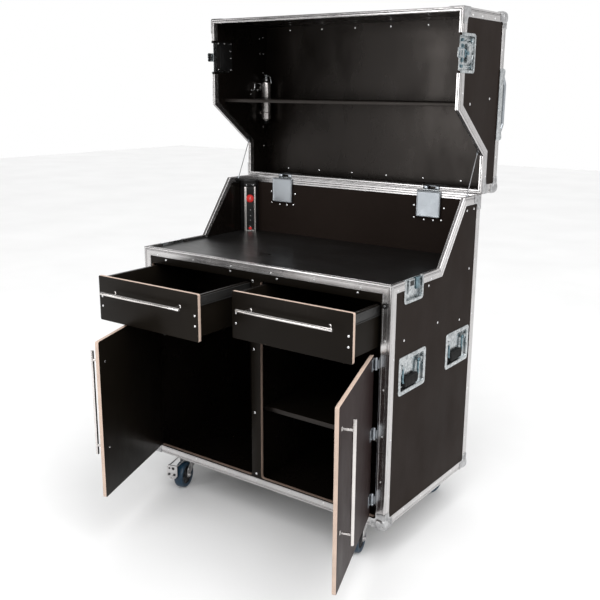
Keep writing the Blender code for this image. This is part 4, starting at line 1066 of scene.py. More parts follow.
# rubber stop on the right front strip, with its bolt
bm = bmesh.new()
for x in (W - 0.0209,):
    m = aim((x, 0.0, 0.7355), (0, -1, 0))
    lathe(bm, [(0, -0.0003), (0.0088, -0.0003), (0.0092, 0.0010), (0.0088, 0.0058), (0.0074, 0.0070), (0.0046, 0.0070), (0.0042, 0.0042), (0, 0.0042)], m, 24, 0)
    lathe(bm, [(0, 0.0040), (0.0034, 0.0040), (0.0034, 0.0056), (0.0026, 0.0064), (0, 0.0064)], m, 12, 1)
finish("front_bumper", bm, "case", (RUBBER, SCREW))


# ================================================================ bar handles
def bar_handle(name, body, middle, along, replaces):
    middle, along = Vector(middle), Vector(along)
    bm = bmesh.new()
    at = Vector((middle.x, PIN - BAR_OUT, middle.z))
    half = BAR_LEN / 2
    lathe(bm, [(0, -half), (BAR_R - 0.0012, -half), (BAR_R - 0.0003, -half + 0.0004), (BAR_R, -half + 0.0012),
               (BAR_R, -half * 0.5), (BAR_R, 0.0), (BAR_R, half * 0.5), (BAR_R, half - 0.0012), (BAR_R - 0.0003, half - 0.0004), (BAR_R - 0.0012, half), (0, half)],
          aim(at, along), 32)
    for s in (-1, 1):
        foot = Vector((middle.x, PIN, middle.z)) + along * s * POST_GAP / 2
        lathe(bm, [(0, 0.0), (0.0062, 0.0), (0.0062, 0.0008), (0.0052, 0.0014), (0.0042, 0.0026), (0.0042, BAR_OUT - 0.0062),
                   (0.0046, BAR_OUT - 0.0044), (0.0046, BAR_OUT - 0.0020), (0, BAR_OUT - 0.0020)], aim(foot, (0, -1, 0)), 24)
    # streaks run along the bar: u is the length
    return finish(name, bm, body, (BAR,), replaces, smooth=35)


bar_handle("pull_drawer_left", "drawer_left", (0.268, 0, 0.691), (1, 0, 0), ("drawer_handle_left",))
bar_handle("pull_drawer_right", "drawer_right", (0.770, 0, 0.690), (1, 0, 0), ("drawer_handle_right",))
bar_handle("pull_door_left", "door_leaf_left", (0.458, 0, 0.353), (0, 0, 1), ("door_handle_left",))
bar_handle("pull_door_right", "door_leaf_right", (0.574, 0, 0.359), (0, 0, 1), ("door_handle_right",))

# ================================================================ door hinges
for k, side in enumerate(SIDES):
    sx = 1 if k else -1
    px, py = DOOR_PIVOT[k]
    fixed, leaf = bmesh.new(), bmesh.new()
    x_lo, x_hi = sorted((px + sx * 0.0082, px + sx * 0.0104))
    for z in HINGE_Z:
        # fixed half: pressed arm and the middle knuckle
        box(fixed, (x_lo, -0.0012, z - 0.020), (x_hi, PIN - GAP, z + 0.020), 0.0005)
        a0, a1 = sorted((px, px + sx * 0.0098))
        box(fixed, (a0, py - 0.0033, z - 0.0138), (a1, py + 0.0046, z + 0.0138), 0.0010)
        lathe(fixed, [(0, -0.0144), (0.0050, -0.0144), (0.0055, -0.0138), (0.0055, 0.0138), (0.0050, 0.0144), (0, 0.0144)],
              Matrix.Translation((px, py, z)), 20)
        # moving half: two knuckles, a cranked leaf on the door's face, two screws
        for s in (-1, 1):
            lathe(leaf, [(0, -0.0024), (0.0048, -0.0024), (0.0053, -0.0018), (0.0053, 0.0018), (0.0048, 0.0024), (0, 0.0024)],
                  Matrix.Translation((px, py, z + s * 0.0172)), 20)
            lathe(leaf, [(0, -0.0006), (0.0026, -0.0006), (0.0026, 0.0004), (0.0016, 0.0010), (0, 0.0010)],
                  Matrix.Translation((px, py, z + s * 0.0202)) @ (Matrix.Identity(4) if s > 0 else turn(180, "X")), 14)
            b0, b1 = sorted((px, px - sx * 0.0065))
            box(leaf, (b0, -0.0010, z + s * 0.0172 - 0.0022), (b1, 0.0018, z + s * 0.0172 + 0.0022), 0.0004)
        l0, l1 = sorted((px - sx * 0.0050, px - sx * 0.0300))
        board(leaf, rounded(l0, z - 0.0194, l1, z + 0.0194, 0.003, 3), -0.0019, -0.0003, bevel=0.0004, matrix=FACE["front"])
        for dz in (-0.011, 0.011):
            screw(leaf, Vector((px - sx * 0.0190, 0.0004, z + dz)), Vector((0, -1, 0)), 0.0032, 0.0010)
    strip_lo = HINGE_Z[0] - 0.020
    box(fixed, (x_lo, -0.0008, strip_lo), (x_hi, PIN - GAP, HINGE_Z[-1] + 0.020), 0.0004)
    finish(f"door_hinge_fixed_{side}", fixed, "case", (NICKEL,), (f"door_hinges_{side}",))
    finish(f"door_hinge_leaves_{side}", leaf, f"door_leaf_{side}", (NICKEL, RECESS))

# ============================================================= drawer runners
for k, side in enumerate(SIDES):
    if k == 0:
        spans = ((INNER, 0.0400, 1), (0.5137, 0.4960, -1))
    else:
        spans = ((W - INNER, 1.0000, -1), (0.5263, 0.5440, 1))
    bm = bmesh.new()
    moving = bmesh.new()
    for outer, inner, s in spans:
        lo, hi = sorted((outer, inner - s * 0.0025))
        box(bm, (lo, 0.0205, RAIL_Z[0] + 0.0005), (hi, 0.5240, RAIL_Z[1] - 0.0005), 0.0006, mat=1)
        # fixed channel: web and two lips
        a, b = sorted((inner - s * 0.0024, inner - s * 0.0008))
        box(bm, (a, 0.0175, RAIL_Z[0]), (b, 0.5150, RAIL_Z[1]), 0.0004)
        for z0, z1 in ((RAIL_Z[0], RAIL_Z[0] + 0.0018), (RAIL_Z[1] - 0.0018, RAIL_Z[1])):
            c, d = sorted((inner - s * 0.0024, inner))
            box(bm, (c, 0.0175, z0), (d, 0.5150, z1), 0.0004)
        # the sliding member on the drawer box, with its web pressed in
        wall = (BOX_X[k][0] if abs(inner - BOX_X[k][0]) < abs(inner - BOX_X[k][1]) else BOX_X[k][1])
        c, d = sorted((wall, wall - s * 0.0022))
        box(moving, (c, 0.0200, 0.7010), (d, 0.4700, 0.7320), 0.0006)
        e, f = sorted((wall, wall - s * 0.0052))
        for z0, z1 in ((0.7010, 0.7034), (0.7296, 0.7320)):
            box(moving, (e, 0.0200, z0), (f, 0.4700, z1), 0.0006)
        for y in (0.045, 0.170, 0.300, 0.440):
            screw(moving, Vector((wall - s * 0.0021, y, 0.7165)), Vector((-s, 0, 0)), 0.0034, 0.0012)
    finish(f"runner_fixed_{side}", bm, "case", (RUNNER, FRONT_LAM), (f"drawer_runners_{side}",))
    finish(f"runner_moving_{side}", moving, f"drawer_{side}", (RUNNER, RECESS))


# ============================================================== side handles
def rr(hw, hh, r, steps=5, cy=0.0, cz=0.0):
    return rounded(cy - hw, cz - hh, cy + hw, cz + hh, r, steps)


for side in SIDES:
    for where, y in zip(("front", "rear"), HANDLE_Y):
        bm = bmesh.new()
        m = FACE[side] @ Matrix.Translation((y, HANDLE_Z, 0.0))
        part = bmesh.new()
        loft(part, [
            (rr(0.0500, 0.0260, 0.003), -0.0151), (rr(0.0690, 0.0440, 0.005), -0.0151), (rr(0.0716, 0.0466, 0.006), -0.0146),
            (rr(0.0732, 0.0482, 0.0066), -0.0128), (rr(0.0740, 0.0490, 0.007), -0.0060), (rr(0.0746, 0.0496, 0.0074), -0.0014),
            (rr(0.0752, 0.0502, 0.008), 0.0001), (rr(0.0766, 0.0516, 0.009), 0.0010), (rr(0.0785, 0.0535, 0.010), 0.0012),
            (rr(0.0802, 0.0552, 0.010), 0.0007), (rr(0.0815, 0.0565, 0.011), 0.0002), (rr(0.0862, 0.0617, 0.0125), 0.0001),
            (rr(0.0876, 0.0631, 0.0130), -0.0003), (rr(0.0880, 0.0635, 0.0132), -0.0010), (rr(0.0880, 0.0635, 0.0132), -0.0019),
            (rr(0.0764, 0.0514, 0.008), -0.0019), (rr(0.0756, 0.0506, 0.008), -0.0040), (rr(0.0752, 0.0502, 0.008), -0.0140),
            (rr(0.0735, 0.0485, 0.007), -0.0160), (rr(0.0700, 0.0450, 0.006), -0.0166),
        ])
        part.transform(m)
        add_mesh(bm, part)
        # bearing ears, the wire's stop plate and flange rivets
        for s in (-1, 1):
            ear = [(s * 0.0575, 0.0175), (s * 0.0605, 0.0175), (s * 0.0605, 0.0345), (s * 0.0575, 0.0345)]
            e0, e1 = sorted((s * 0.0575, s * 0.0605))
            ear_part = bmesh.new()
            box(ear_part, (e0, 0.0175, -0.0148), (e1, 0.0345, -0.0012), 0.0006)
            ear_part.transform(m)
            add_mesh(bm, ear_part)
            boss = bmesh.new()
            lathe(boss, [(0, -0.0006), (0.0050, -0.0006), (0.0052, 0.0004), (0.0040, 0.0012), (0, 0.0012)],
                  aim((s * 0.0605, 0.0260, -0.0072), (s, 0, 0)), 18)
            boss.transform(m)
            add_mesh(bm, boss)
            # return spring wound on the wire's end
            coil = bmesh.new()
            pts = []
            for t in range(0, 49):
                ang = t / 8 * 2 * math.pi
                pts.append((s * (0.0625 + 0.0082 * t / 48), 0.0260 + 0.0052 * math.cos(ang), -0.0072 + 0.0052 * math.sin(ang)))
            tube(coil, pts, 0.0008, 6)
            coil.transform(m)
            add_mesh(bm, coil)
        for a, b in ((-0.0815, -0.030), (-0.0815, 0.030), (0.0815, -0.030), (0.0815, 0.030),
                     (-0.045, 0.0570), (0.0, 0.0570), (0.045, 0.0570), (-0.045, -0.0570), (0.0, -0.0570), (0.045, -0.0570)):
            rivet(bm, m @ Vector((a, b, 0.0001)), m.to_3x3() @ Vector((0, 0, 1)), 0.0028, 0.0012)
        finish(f"handle_pan_{side}_{where}", bm, "case", (ZINC,), (f"handle_dish_{side}_{where}",), smooth=38)

        ax = -BAIL_IN
        low = -BAIL_DROP
        bail = bmesh.new()
        mb = FACE[side] @ Matrix.Translation((y, BAIL_Z, 0.0))

        def bow(ca, cb, r, a0, a1, n=7):
            return [(ca + r * math.cos(math.radians(a0 + (a1 - a0) * k / n)), cb + r * math.sin(math.radians(a0 + (a1 - a0) * k / n)), ax) for k in range(n + 1)]

        path = [(-0.0620, 0.0, ax)] + bow(-BAIL_HALF - 0.0052, -0.0052, 0.0052, 90, 0) + bow(-BAIL_HALF + 0.010, low + 0.010, 0.010, 180, 270)
        path += [(0.0, low, ax)]
        path += bow(BAIL_HALF - 0.010, low + 0.010, 0.010, 270, 360) + bow(BAIL_HALF + 0.0052, -0.0052, 0.0052, 180, 90) + [(0.0620, 0.0, ax)]
        tube(bail, path, 0.0037, 18)
        bail.transform(mb)
        finish(f"bail_wire_{side}_{where}", bail, f"bail_{side}_{where}", (ZINC_DARK,), (f"handle_bail_{side}_{where}",), smooth=40)
        grip = bmesh.new()
        layers = []
        for g, (ga, gb, gh) in enumerate(((0.0405, 0.0125, -0.0144), (0.0428, 0.0150, -0.0138), (0.0440, 0.0163, -0.0118), (0.0440, 0.0165, -0.0060), (0.0432, 0.0156, -0.0024), (0.0412, 0.0135, -0.0010))):
            layers.append((rr(ga, gb, 0.0070, 5), gh))
        loft(grip, layers)
        for g in range(9):
            board(grip, rounded(-0.0376 + 0.0088 * g, -0.0125, -0.0376 + 0.0088 * g + 0.0048, 0.0125, 0.0020, 3), -0.0016, -0.0002, bevel=0.0006)
        grip.transform(mb @ Matrix.Translation((0, low + 0.0010, 0)))
        finish(f"bail_grip_{side}_{where}", grip, f"bail_{side}_{where}", (RUBBER,), smooth=25)

# =============================================================== latch keepers
for side in SIDES:
    m = FACE[side]
    z0 = HF - KEEPER_H
    a = LATCH_W / 2
    bm = bmesh.new()
    inner_a = a - 0.0085
    outline = softened(
        [(LATCH_Y - a, HF), (LATCH_Y - a, z0), (LATCH_Y + a, z0), (LATCH_Y + a, HF), (LATCH_Y + inner_a, HF),
         (LATCH_Y + inner_a, z0 + 0.0090), (LATCH_Y - inner_a, z0 + 0.0090), (LATCH_Y - inner_a, HF)],
        [0.0, 0.012, 0.012, 0.0, 0.0, 0.007, 0.007, 0.0])
    board(bm, outline, -AL, 0.0004, bevel=0.0006, matrix=m)
    # pan: floor and walls
    pan = bmesh.new()
    lip = inner_a - 0.0004
    box(pan, (LATCH_Y - lip - 0.0012, z0 + 0.0074, -0.0100), (LATCH_Y - lip + 0.0002, HF, -0.0004), 0.0004)
    box(pan, (LATCH_Y + lip - 0.0002, z0 + 0.0074, -0.0100), (LATCH_Y + lip + 0.0012, HF, -0.0004), 0.0004)
    box(pan, (LATCH_Y - lip, z0 + 0.0074, -0.0100), (LATCH_Y + lip, z0 + 0.0088, -0.0004), 0.0004)
    box(pan, (LATCH_Y - lip, z0 + 0.0080, -0.0100), (LATCH_Y + lip, HF, -0.0088), 0.0003)
    pan.transform(m)
    add_mesh(bm, pan)
    # pressed striker plate, standing out of the pan, with a near-black board under its edge as the slot, painted shade
    plate = softened([(LATCH_Y - 0.026, HF - 0.0030), (LATCH_Y - 0.030, HF - 0.0500), (LATCH_Y + 0.010, HF - 0.0500), (LATCH_Y + 0.010, HF - 0.0030)], 0.004)
    board(bm, plate, -0.0088, -0.0040, bevel=0.0012, matrix=m)
    board(bm, rounded(LATCH_Y - 0.022, HF - 0.0300, LATCH_Y + 0.022, HF - 0.0255, 0.0012, 2), -0.0092, -0.0050, bevel=0.0006, matrix=m)
    board(bm, rounded(LATCH_Y - 0.0200, HF - 0.0245, LATCH_Y + 0.0040, HF - 0.0085, 0.001, 2), -0.0060, -0.0036, bevel=0.0003, mats=(1, 1), matrix=m)
    # cheek at the rear end, a flat bevelled plate
    cheek = bmesh.new()
    pts = [(LATCH_Y + 0.0300, HF - 0.0330, -0.0078), (LATCH_Y + 0.0300, HF - 0.0200, -0.0066), (LATCH_Y + 0.0300, HF - 0.0100, -0.0050), (LATCH_Y + 0.0300, HF - 0.0030, -0.0040)]
    for p, q in zip(pts, pts[1:]):
        pass
    board(cheek, softened([(LATCH_Y + 0.0160, HF - 0.0400), (LATCH_Y + 0.0420, HF - 0.0400), (LATCH_Y + 0.0420, HF - 0.0010), (LATCH_Y + 0.0160, HF - 0.0010)], [0.004, 0.006, 0.002, 0.002]),
          -0.0086, -0.0022, bevel=0.0020, mats=(2, 2), matrix=m)
    add_mesh(bm, cheek)
    for p, q in ((-0.0545, -0.030), (0.0545, -0.030), (-0.0545, -0.058), (0.0545, -0.058), (-0.026, -0.0712), (0.0, -0.0712), (0.026, -0.0712)):
        rivet(bm, m @ Vector((LATCH_Y + p, HF + q, 0.0003)), m.to_3x3() @ Vector((0, 0, 1)), 0.0027, 0.0011)
    finish(f"keeper_{side}", bm, "case", (ZINC, RECESS, ZINC_DARK), (f"latch_keeper_{side}",), smooth=35)

# ================================================================= lid latches
for side in SIDES:
    m = FACE[side]
    z0, z1 = RIM_F, RIM_F + LATCH_H
    a = LATCH_W / 2
    inner_a = a - 0.0085
    bm = bmesh.new()
    outline = softened(
        [(LATCH_Y - a, z1), (LATCH_Y - a, z0), (LATCH_Y - inner_a, z0), (LATCH_Y - inner_a, z1 - 0.0090),
         (LATCH_Y + inner_a, z1 - 0.0090), (LATCH_Y + inner_a, z0), (LATCH_Y + a, z0), (LATCH_Y + a, z1)],
        [0.012, 0.0, 0.0, 0.007, 0.007, 0.0, 0.0, 0.012])
    board(bm, outline, -AL, 0.0004, bevel=0.0006, matrix=m)
    pan = bmesh.new()
    lip = inner_a - 0.0004
    box(pan, (LATCH_Y - lip - 0.0012, z0, -0.0100), (LATCH_Y - lip + 0.0002, z1 - 0.0074, -0.0004), 0.0004)
    box(pan, (LATCH_Y + lip - 0.0002, z0, -0.0100), (LATCH_Y + lip + 0.0012, z1 - 0.0074, -0.0004), 0.0004)
    box(pan, (LATCH_Y - lip, z1 - 0.0088, -0.0100), (LATCH_Y + lip, z1 - 0.0074, -0.0004), 0.0004)
    box(pan, (LATCH_Y - lip, z0, -0.0100), (LATCH_Y + lip, z1 - 0.0080, -0.0088), 0.0003)
    pan.transform(m)
    add_mesh(bm, pan)
    # body of the latch: carrier plate, hook plate with side ribs, boss, return spring
    board(bm, softened([(LATCH_Y - 0.030, z0 + 0.014), (LATCH_Y + 0.030, z0 + 0.014), (LATCH_Y + 0.024, z0 + 0.030), (LATCH_Y - 0.024, z0 + 0.030)], 0.003),
          -0.0090, -0.0052, bevel=0.0010, mats=(1, 1), matrix=m)
    board(bm, softened([(LATCH_Y - 0.0150, z0 + 0.0060), (LATCH_Y + 0.0150, z0 + 0.0060), (LATCH_Y + 0.0150, z0 + 0.0300), (LATCH_Y - 0.0150, z0 + 0.0300)], 0.002),
          -0.0070, -0.0048, bevel=0.0006, matrix=m)
    board(bm, softened([(LATCH_Y - 0.0155, z0 + 0.0060), (LATCH_Y + 0.0155, z0 + 0.0060), (LATCH_Y + 0.0155, z0 + 0.0130), (LATCH_Y - 0.0155, z0 + 0.0130)], 0.001),
          -0.0068, -0.0016, bevel=0.0005, matrix=m)
    board(bm, softened([(LATCH_Y - 0.0155, HF - 0.0235), (LATCH_Y + 0.0155, HF - 0.0235), (LATCH_Y + 0.0155, z0 + 0.0130), (LATCH_Y - 0.0155, z0 + 0.0130)], [0.005, 0.005, 0.001, 0.001]),
          -0.0034, -0.0014, bevel=0.0006, matrix=m)
    for s in (-1, 1):
        board(bm, rounded(*sorted((LATCH_Y + s * 0.0122, LATCH_Y + s * 0.0148))[:1], HF - 0.018, *sorted((LATCH_Y + s * 0.0122, LATCH_Y + s * 0.0148))[1:], z0 + 0.012, 0.001, 2),
              -0.0018, -0.0002, bevel=0.0004, mats=(1, 1), matrix=m)
    for hb in (HF - 0.0120, z0 + 0.0060):
        board(bm, rounded(LATCH_Y - 0.009, hb - 0.0018, LATCH_Y + 0.009, hb + 0.0018, 0.0016, 3), -0.0018, -0.0004, bevel=0.0005, mats=(1, 1), matrix=m)
    part = bmesh.new()
    lathe(part, [(0, -0.0092), (0.0150, -0.0092), (0.0150, -0.0066), (0.0138, -0.0058), (0.0104, -0.0056), (0.0100, -0.0044), (0, -0.0044)],
          Matrix.Translation((LATCH_Y, z0 + 0.052, 0.0)), 32, 1)
    part.transform(m)
    add_mesh(bm, part)
    for s in (-1, 1):
        spring = bmesh.new()
        pts = []
        for t in range(0, 61):
            ang = t / 6 * 2 * math.pi
            pts.append((LATCH_Y + s * (0.0400 + 0.0026 * math.cos(ang)), z0 + 0.018 + 0.052 * t / 60, -0.0056 + 0.0026 * math.sin(ang)))
        tube(spring, pts, 0.0007, 6, mat=0)
        spring.transform(m)
        add_mesh(bm, spring)
        board(bm, rounded(*( [LATCH_Y + s * 0.0400 - 0.0050, z0 + 0.010, LATCH_Y + s * 0.0400 + 0.0050, z0 + 0.018] ), 0.002, 3), -0.0090, -0.0028, bevel=0.0008, mats=(1, 1), matrix=m)
        board(bm, rounded(*( [LATCH_Y + s * 0.0400 - 0.0050, z0 + 0.070, LATCH_Y + s * 0.0400 + 0.0050, z0 + 0.078] ), 0.002, 3), -0.0090, -0.0028, bevel=0.0008, mats=(1, 1), matrix=m)
    for p, q in ((-0.0545, 0.022), (0.0545, 0.022), (-0.0545, 0.062), (0.0545, 0.062), (-0.028, 0.0957), (0.0, 0.0957), (0.028, 0.0957)):
        rivet(bm, m @ Vector((LATCH_Y + p, z0 + q, 0.0003)), m.to_3x3() @ Vector((0, 0, 1)), 0.0027, 0.0011)
    finish(f"latch_pan_{side}", bm, "lid", (ZINC, ZINC_DARK), (f"lid_latch_dish_{side}",), smooth=35)

    # butterfly wing: two folded halves, a grip bead and a pivot
    wing = bmesh.new()
    cz = z0 + 0.052
    arc = [(LATCH_Y + 0.030 * math.cos(math.radians(t)), cz + 0.006 + 0.030 * math.sin(math.radians(t))) for t in range(0, 181, 9)]
    arc = [(LATCH_Y + 0.030, cz - 0.006)] + arc + [(LATCH_Y - 0.030, cz - 0.006)]
    board(wing, softened(arc, [0.003] + [0.0] * (len(arc) - 2) + [0.003]), -0.0042, -0.0026, bevel=0.0005, matrix=m)
    rim_out = [(LATCH_Y + (p - LATCH_Y) * 0.985, cz + 0.006 + (q - cz - 0.006) * 0.985, -0.0024) for p, q in arc[1:-1]]
    bead = bmesh.new()
    tube(bead, rim_out, 0.0015, 10)
    bead.transform(m)
    add_mesh(wing, bead)
    for s in (-1, 1):
        board(wing, softened([(LATCH_Y + s * 0.0035, cz - 0.002), (LATCH_Y + s * 0.0035, cz + 0.029), (LATCH_Y + s * 0.0160, cz + 0.025), (LATCH_Y + s * 0.0240, cz + 0.012), (LATCH_Y + s * 0.0240, cz - 0.002)][::s], 0.003),
              -0.0030, -0.0010, bevel=0.0008, matrix=m)
    part = bmesh.new()
    lathe(part, [(0, -0.0036), (0.0068, -0.0036), (0.0068, -0.0016), (0.0056, -0.0006), (0.0030, -0.0004), (0.0022, -0.0012), (0, -0.0012)],
          Matrix.Translation((LATCH_Y, cz, 0.0)), 24, 1)
    part.transform(m)
    add_mesh(wing, part)
    finish(f"latch_butterfly_{side}", wing, f"wing_{side}", (ZINC, ZINC_DARK), (f"latch_wing_{side}",), smooth=35)

# backs of the latch pans, seen from inside the lid
bm = bmesh.new()
for side in SIDES:
    s = 1 if side == "left" else -1
    x = INNER - GAP if side == "left" else W - INNER + GAP
    plate_m = Matrix(((0, 0, s, x), (1, 0, 0, 0), (0, 1, 0, 0), (0, 0, 0, 1)))
    board(bm, rounded(LATCH_Y - 0.058, RIM_F + 0.016, LATCH_Y + 0.050, RIM_F + 0.106, 0.008), 0.0000, 0.0012, bevel=0.0004, matrix=plate_m)
    board(bm, rounded(LATCH_Y - 0.046, RIM_F + 0.034, LATCH_Y + 0.046, RIM_F + 0.086, 0.006), 0.0010, 0.0030, bevel=0.0010, matrix=plate_m)
    for p, q in ((-0.0520, 0.026), (0.0445, 0.026), (-0.0520, 0.062), (0.0445, 0.062), (-0.0520, 0.098), (-0.026, 0.0985), (0.0, 0.0985), (0.0445, 0.0985)):
        rivet(bm, plate_m @ Vector((LATCH_Y + p, RIM_F + q, 0.0011)), (s, 0, 0), 0.0034, 0.0016, 1)
finish("latch_backing_plates", bm, "lid", (BLACK, RIVET))

# =================================================================== lid hinges
for side, c in zip(SIDES, HINGE_X):
    bm = bmesh.new()
    y1 = D - INNER
    top, bottom = HC - 0.013, HC - 0.013 - 0.083
    inward = Matrix(((1, 0, 0, 0), (0, 0, -1, y1), (0, 1, 0, 0), (0, 0, 0, 1)))
    part = bmesh.new()
    rise = 0.0124
    hw, hh = 0.0475, 0.0415 + rise / 2
    mid = (top + rise + bottom) / 2
    loft(part, [
        (rr(hw, hh, 0.003, 4), 0.0031), (rr(hw, hh, 0.003, 4), 0.0080), (rr(hw - 0.0006, hh - 0.0006, 0.0034, 4), 0.0092),
        (rr(hw - 0.0018, hh - 0.0018, 0.0034, 4), 0.0100), (rr(hw - 0.0034, hh - 0.0034, 0.003, 4), 0.0100),
        (rr(hw - 0.0044, hh - 0.0044, 0.003, 4), 0.0092), (rr(hw - 0.0060, hh - 0.0060, 0.003, 4), 0.0091),
    ])
    part.transform(inward @ Matrix.Translation((c, mid, 0)))
    add_mesh(bm, part)
    box(bm, (c - 0.0468, y1 - 0.0034, bottom + 0.0006), (c + 0.0468, y1, top - 0.0012), 0.0004)
    # hook plate over the rim and the middle knuckle
    box(bm, (c - 0.0150, y1 - 0.0088, HC - 0.0128), (c + 0.0150, D - 0.0006, HC - 0.0014), 0.0008)
    lathe(bm, [(0, -0.0149), (0.0044, -0.0149), (0.0050, -0.0143), (0.0050, 0.0143), (0.0044, 0.0149), (0, 0.0149)], aim((c, D, HC), (1, 0, 0)), 28, 1)
    finish(f"hinge_cover_{side}", bm, "case", (NICKEL, ZINC), (f"hinge_{side}_base",), smooth=35)

bm = bmesh.new()
for c in HINGE_X:
    y1 = D - INNER
    for s in (-1, 1):
        xa, xb = c + s * 0.0230 - 0.0072, c + s * 0.0230 + 0.0072
        box(bm, (xa, y1 - 0.0025, HC + 0.0012), (xb, D - 0.0004, HC + 0.0125), 0.0008)
        box(bm, (xa, y1 - 0.0025, HC + 0.0100), (xb, y1 - 0.0003, HC + 0.0180), 0.0005)
        lathe(bm, [(0, -0.0071), (0.0044, -0.0071), (0.0050, -0.0065), (0.0050, 0.0065), (0.0044, 0.0071), (0, 0.0071)],
              aim((c + s * 0.0230, D, HC), (1, 0, 0)), 28, 1)
        lathe(bm, [(0, 0.0), (0.0030, 0.0), (0.0030, 0.0010), (0.0020, 0.0018), (0, 0.0018)], aim((c + s * 0.0302, D, HC), (s, 0, 0)), 16, 1)
    leaf_m = Matrix(((1, 0, 0, 0), (0, 0, -1, y1), (0, 1, 0, 0), (0, 0, 0, 1)))
    board(bm, rounded(c - 0.0420, HC + 0.0140, c + 0.0420, HC + 0.0640, 0.004, 4), 0.0002, 0.0025, bevel=0.0006, matrix=leaf_m)
    for dx, dz in ((-0.032, 0.026), (0.0, 0.026), (0.032, 0.026), (-0.032, 0.053), (0.0, 0.053), (0.032, 0.053)):
        rivet(bm, leaf_m @ Vector((c + dx, HC + dz, 0.0024)), Vector((0, -1, 0)), 0.0034, 0.0014)
finish("hinge_leaves_lid", bm, "lid", (NICKEL, ZINC), smooth=35)

# ================================================================ power column
col = bmesh.new()
A, B = Vector((0.041, 0.527)), Vector((0.0727, 0.5587))
along = (B - A).normalized()
outn = Vector((1, -1)).normalized()
body_plan = [(0.0142, 0.5345), tuple(A - outn * 0.0012 + along * 0.001), tuple(B - outn * 0.0012 - along * 0.001), (0.0662, 0.5856), (0.0142, 0.5856)]
board(col, body_plan, TOP_Z + 0.0006, 0.9700, bevel=0.0008, mats=(0, 0))
face_m = Matrix(((along.x, 0, outn.x, A.x), (along.y, 0, outn.y, A.y), (0, 1, 0, 0), (0, 0, 0, 1)))
width = (B - A).length
# bright rails up both edges, a sill and the black fascia between them
for a0, a1, d in ((-0.0010, 0.0085, 0.0010), (width - 0.0062, width + 0.0004, 0.0010)):
    board(col, softened([(a0, TOP_Z + 0.0008), (a1, TOP_Z + 0.0008), (a1, 0.9715), (a0, 0.9715)], 0.0012), -0.0060, d, bevel=0.0010, mats=(1, 1), matrix=face_m)
    board(col, softened([(a0 + 0.0022, TOP_Z + 0.0030), (a1 - 0.0022, TOP_Z + 0.0030), (a1 - 0.0022, 0.9690), (a0 + 0.0022, 0.9690)], 0.0006), d - 0.0006, d + 0.0006, bevel=0.0004, mats=(1, 1), matrix=face_m)
board(col, softened([(0.006, TOP_Z + 0.0008), (width - 0.005, TOP_Z + 0.0008), (width - 0.005, TOP_Z + 0.0038), (0.006, TOP_Z + 0.0038)], 0.0005), -0.0040, 0.0006, bevel=0.0005, mats=(1, 1), matrix=face_m)
hole = [(width / 2 + 0.0123 * math.cos(math.radians(t)), 0.924 + 0.0123 * math.sin(math.radians(t))) for t in range(0, 360, 12)]
board(col, rounded(0.0082, TOP_Z + 0.0035, width - 0.0060, 0.9712, 0.0010, 2), -0.0030, -0.0008, holes=[hole], bevel=0.0003, mats=(0, 0), matrix=face_m)
# cap with a shoulder, and its two screws
cap_plan = [(0.0142, 0.5338), tuple(A + outn * 0.0006), tuple(B + outn * 0.0006 + along * 0.0004), (0.0668, 0.5858), (0.0142, 0.5858)]
board(col, softened(cap_plan, 0.0020, 3), 0.9702, 0.9880, bevel=0.0012, mats=(2, 2))
board(col, softened([(0.0146, 0.5366), tuple(A - outn * 0.0020), tuple(B - outn * 0.0020 - along * 0.001), (0.0650, 0.5850), (0.0146, 0.5850)], 0.0020, 3), 0.9878, 0.9988, bevel=0.0012, mats=(2, 2))
for t in (0.20, 0.80):
    p = A + along * width * t + outn * 0.0006
    screw(col, Vector((p.x, p.y, 0.9790)), Vector((outn.x, outn.y, 0)), 0.0026, 0.0008, 3, 2)
# switch bezel
lathe(col, [(0.0125, -0.0010), (0.0152, -0.0010), (0.0158, 0.0004), (0.0150, 0.0016), (0.0132, 0.0018), (0.0125, 0.0008)],
      face_m @ Matrix.Translation((width / 2, 0.924, 0.0)), 36, 4, closed=True)
# two round outlets: rim, well, contacts
for z in (0.8655, 0.8223):
    o = bmesh.new()
    fm = face_m @ Matrix.Translation((width / 2 + 0.0008, z, -0.0010))
    lathe(o, [(0, 0.0), (0.0164, 0.0), (0.0168, 0.0010), (0.0160, 0.0019), (0.0148, 0.0019), (0.0142, 0.0008), (0.0138, -0.0040), (0, -0.0040)], fm, 36, 2)
    for dx in (-0.0055, 0.0055):
        lathe(o, [(0, -0.0041), (0.0024, -0.0041), (0.0024, -0.0034), (0.0015, -0.0034), (0.0013, -0.0039), (0, -0.0039)], fm @ Matrix.Translation((dx, 0, 0)), 14, 5)
    for s in (-1, 1):
        clip = bmesh.new()
        lo, hi = sorted((s * 0.0112, s * 0.0136))
        box(clip, (-0.0022, lo, -0.0040), (0.0022, hi, 0.0012), 0.0005, mat=5)
        clip.transform(fm)
        add_mesh(o, clip)
    add_mesh(col, o)
# red pilot button at the foot
o = bmesh.new()
lathe(o, [(0, -0.0012), (0.0066, -0.0012), (0.0066, 0.0004), (0.0056, 0.0014), (0.0030, 0.0019), (0, 0.0020)], face_m @ Matrix.Translation((width / 2, TOP_Z + 0.0115, 0.0)), 28, 4)
add_mesh(col, o)
finish("power_column_shell", col, "case", (BLACK, BAR, BLACK, SCREW, RED, CHROME), ("power_column",), smooth=35)
sw = bmesh.new()
lathe(sw, [(0, -0.0032), (0.0080, -0.0032), (0.0083, -0.0026), (0.0083, -0.0004), (0.0116, -0.0003), (0.0120, 0.0004), (0.0120, 0.0016), (0.0112, 0.0026), (0.0092, 0.0030), (0.0050, 0.0026), (0, 0.0022)],
      face_m @ Matrix.Translation((width / 2, 0.924, 0.0)), 40)
part = bmesh.new()
box(part, (-0.0012, -0.0060, 0.0022), (0.0012, 0.0060, 0.0031), 0.0004, mat=1)
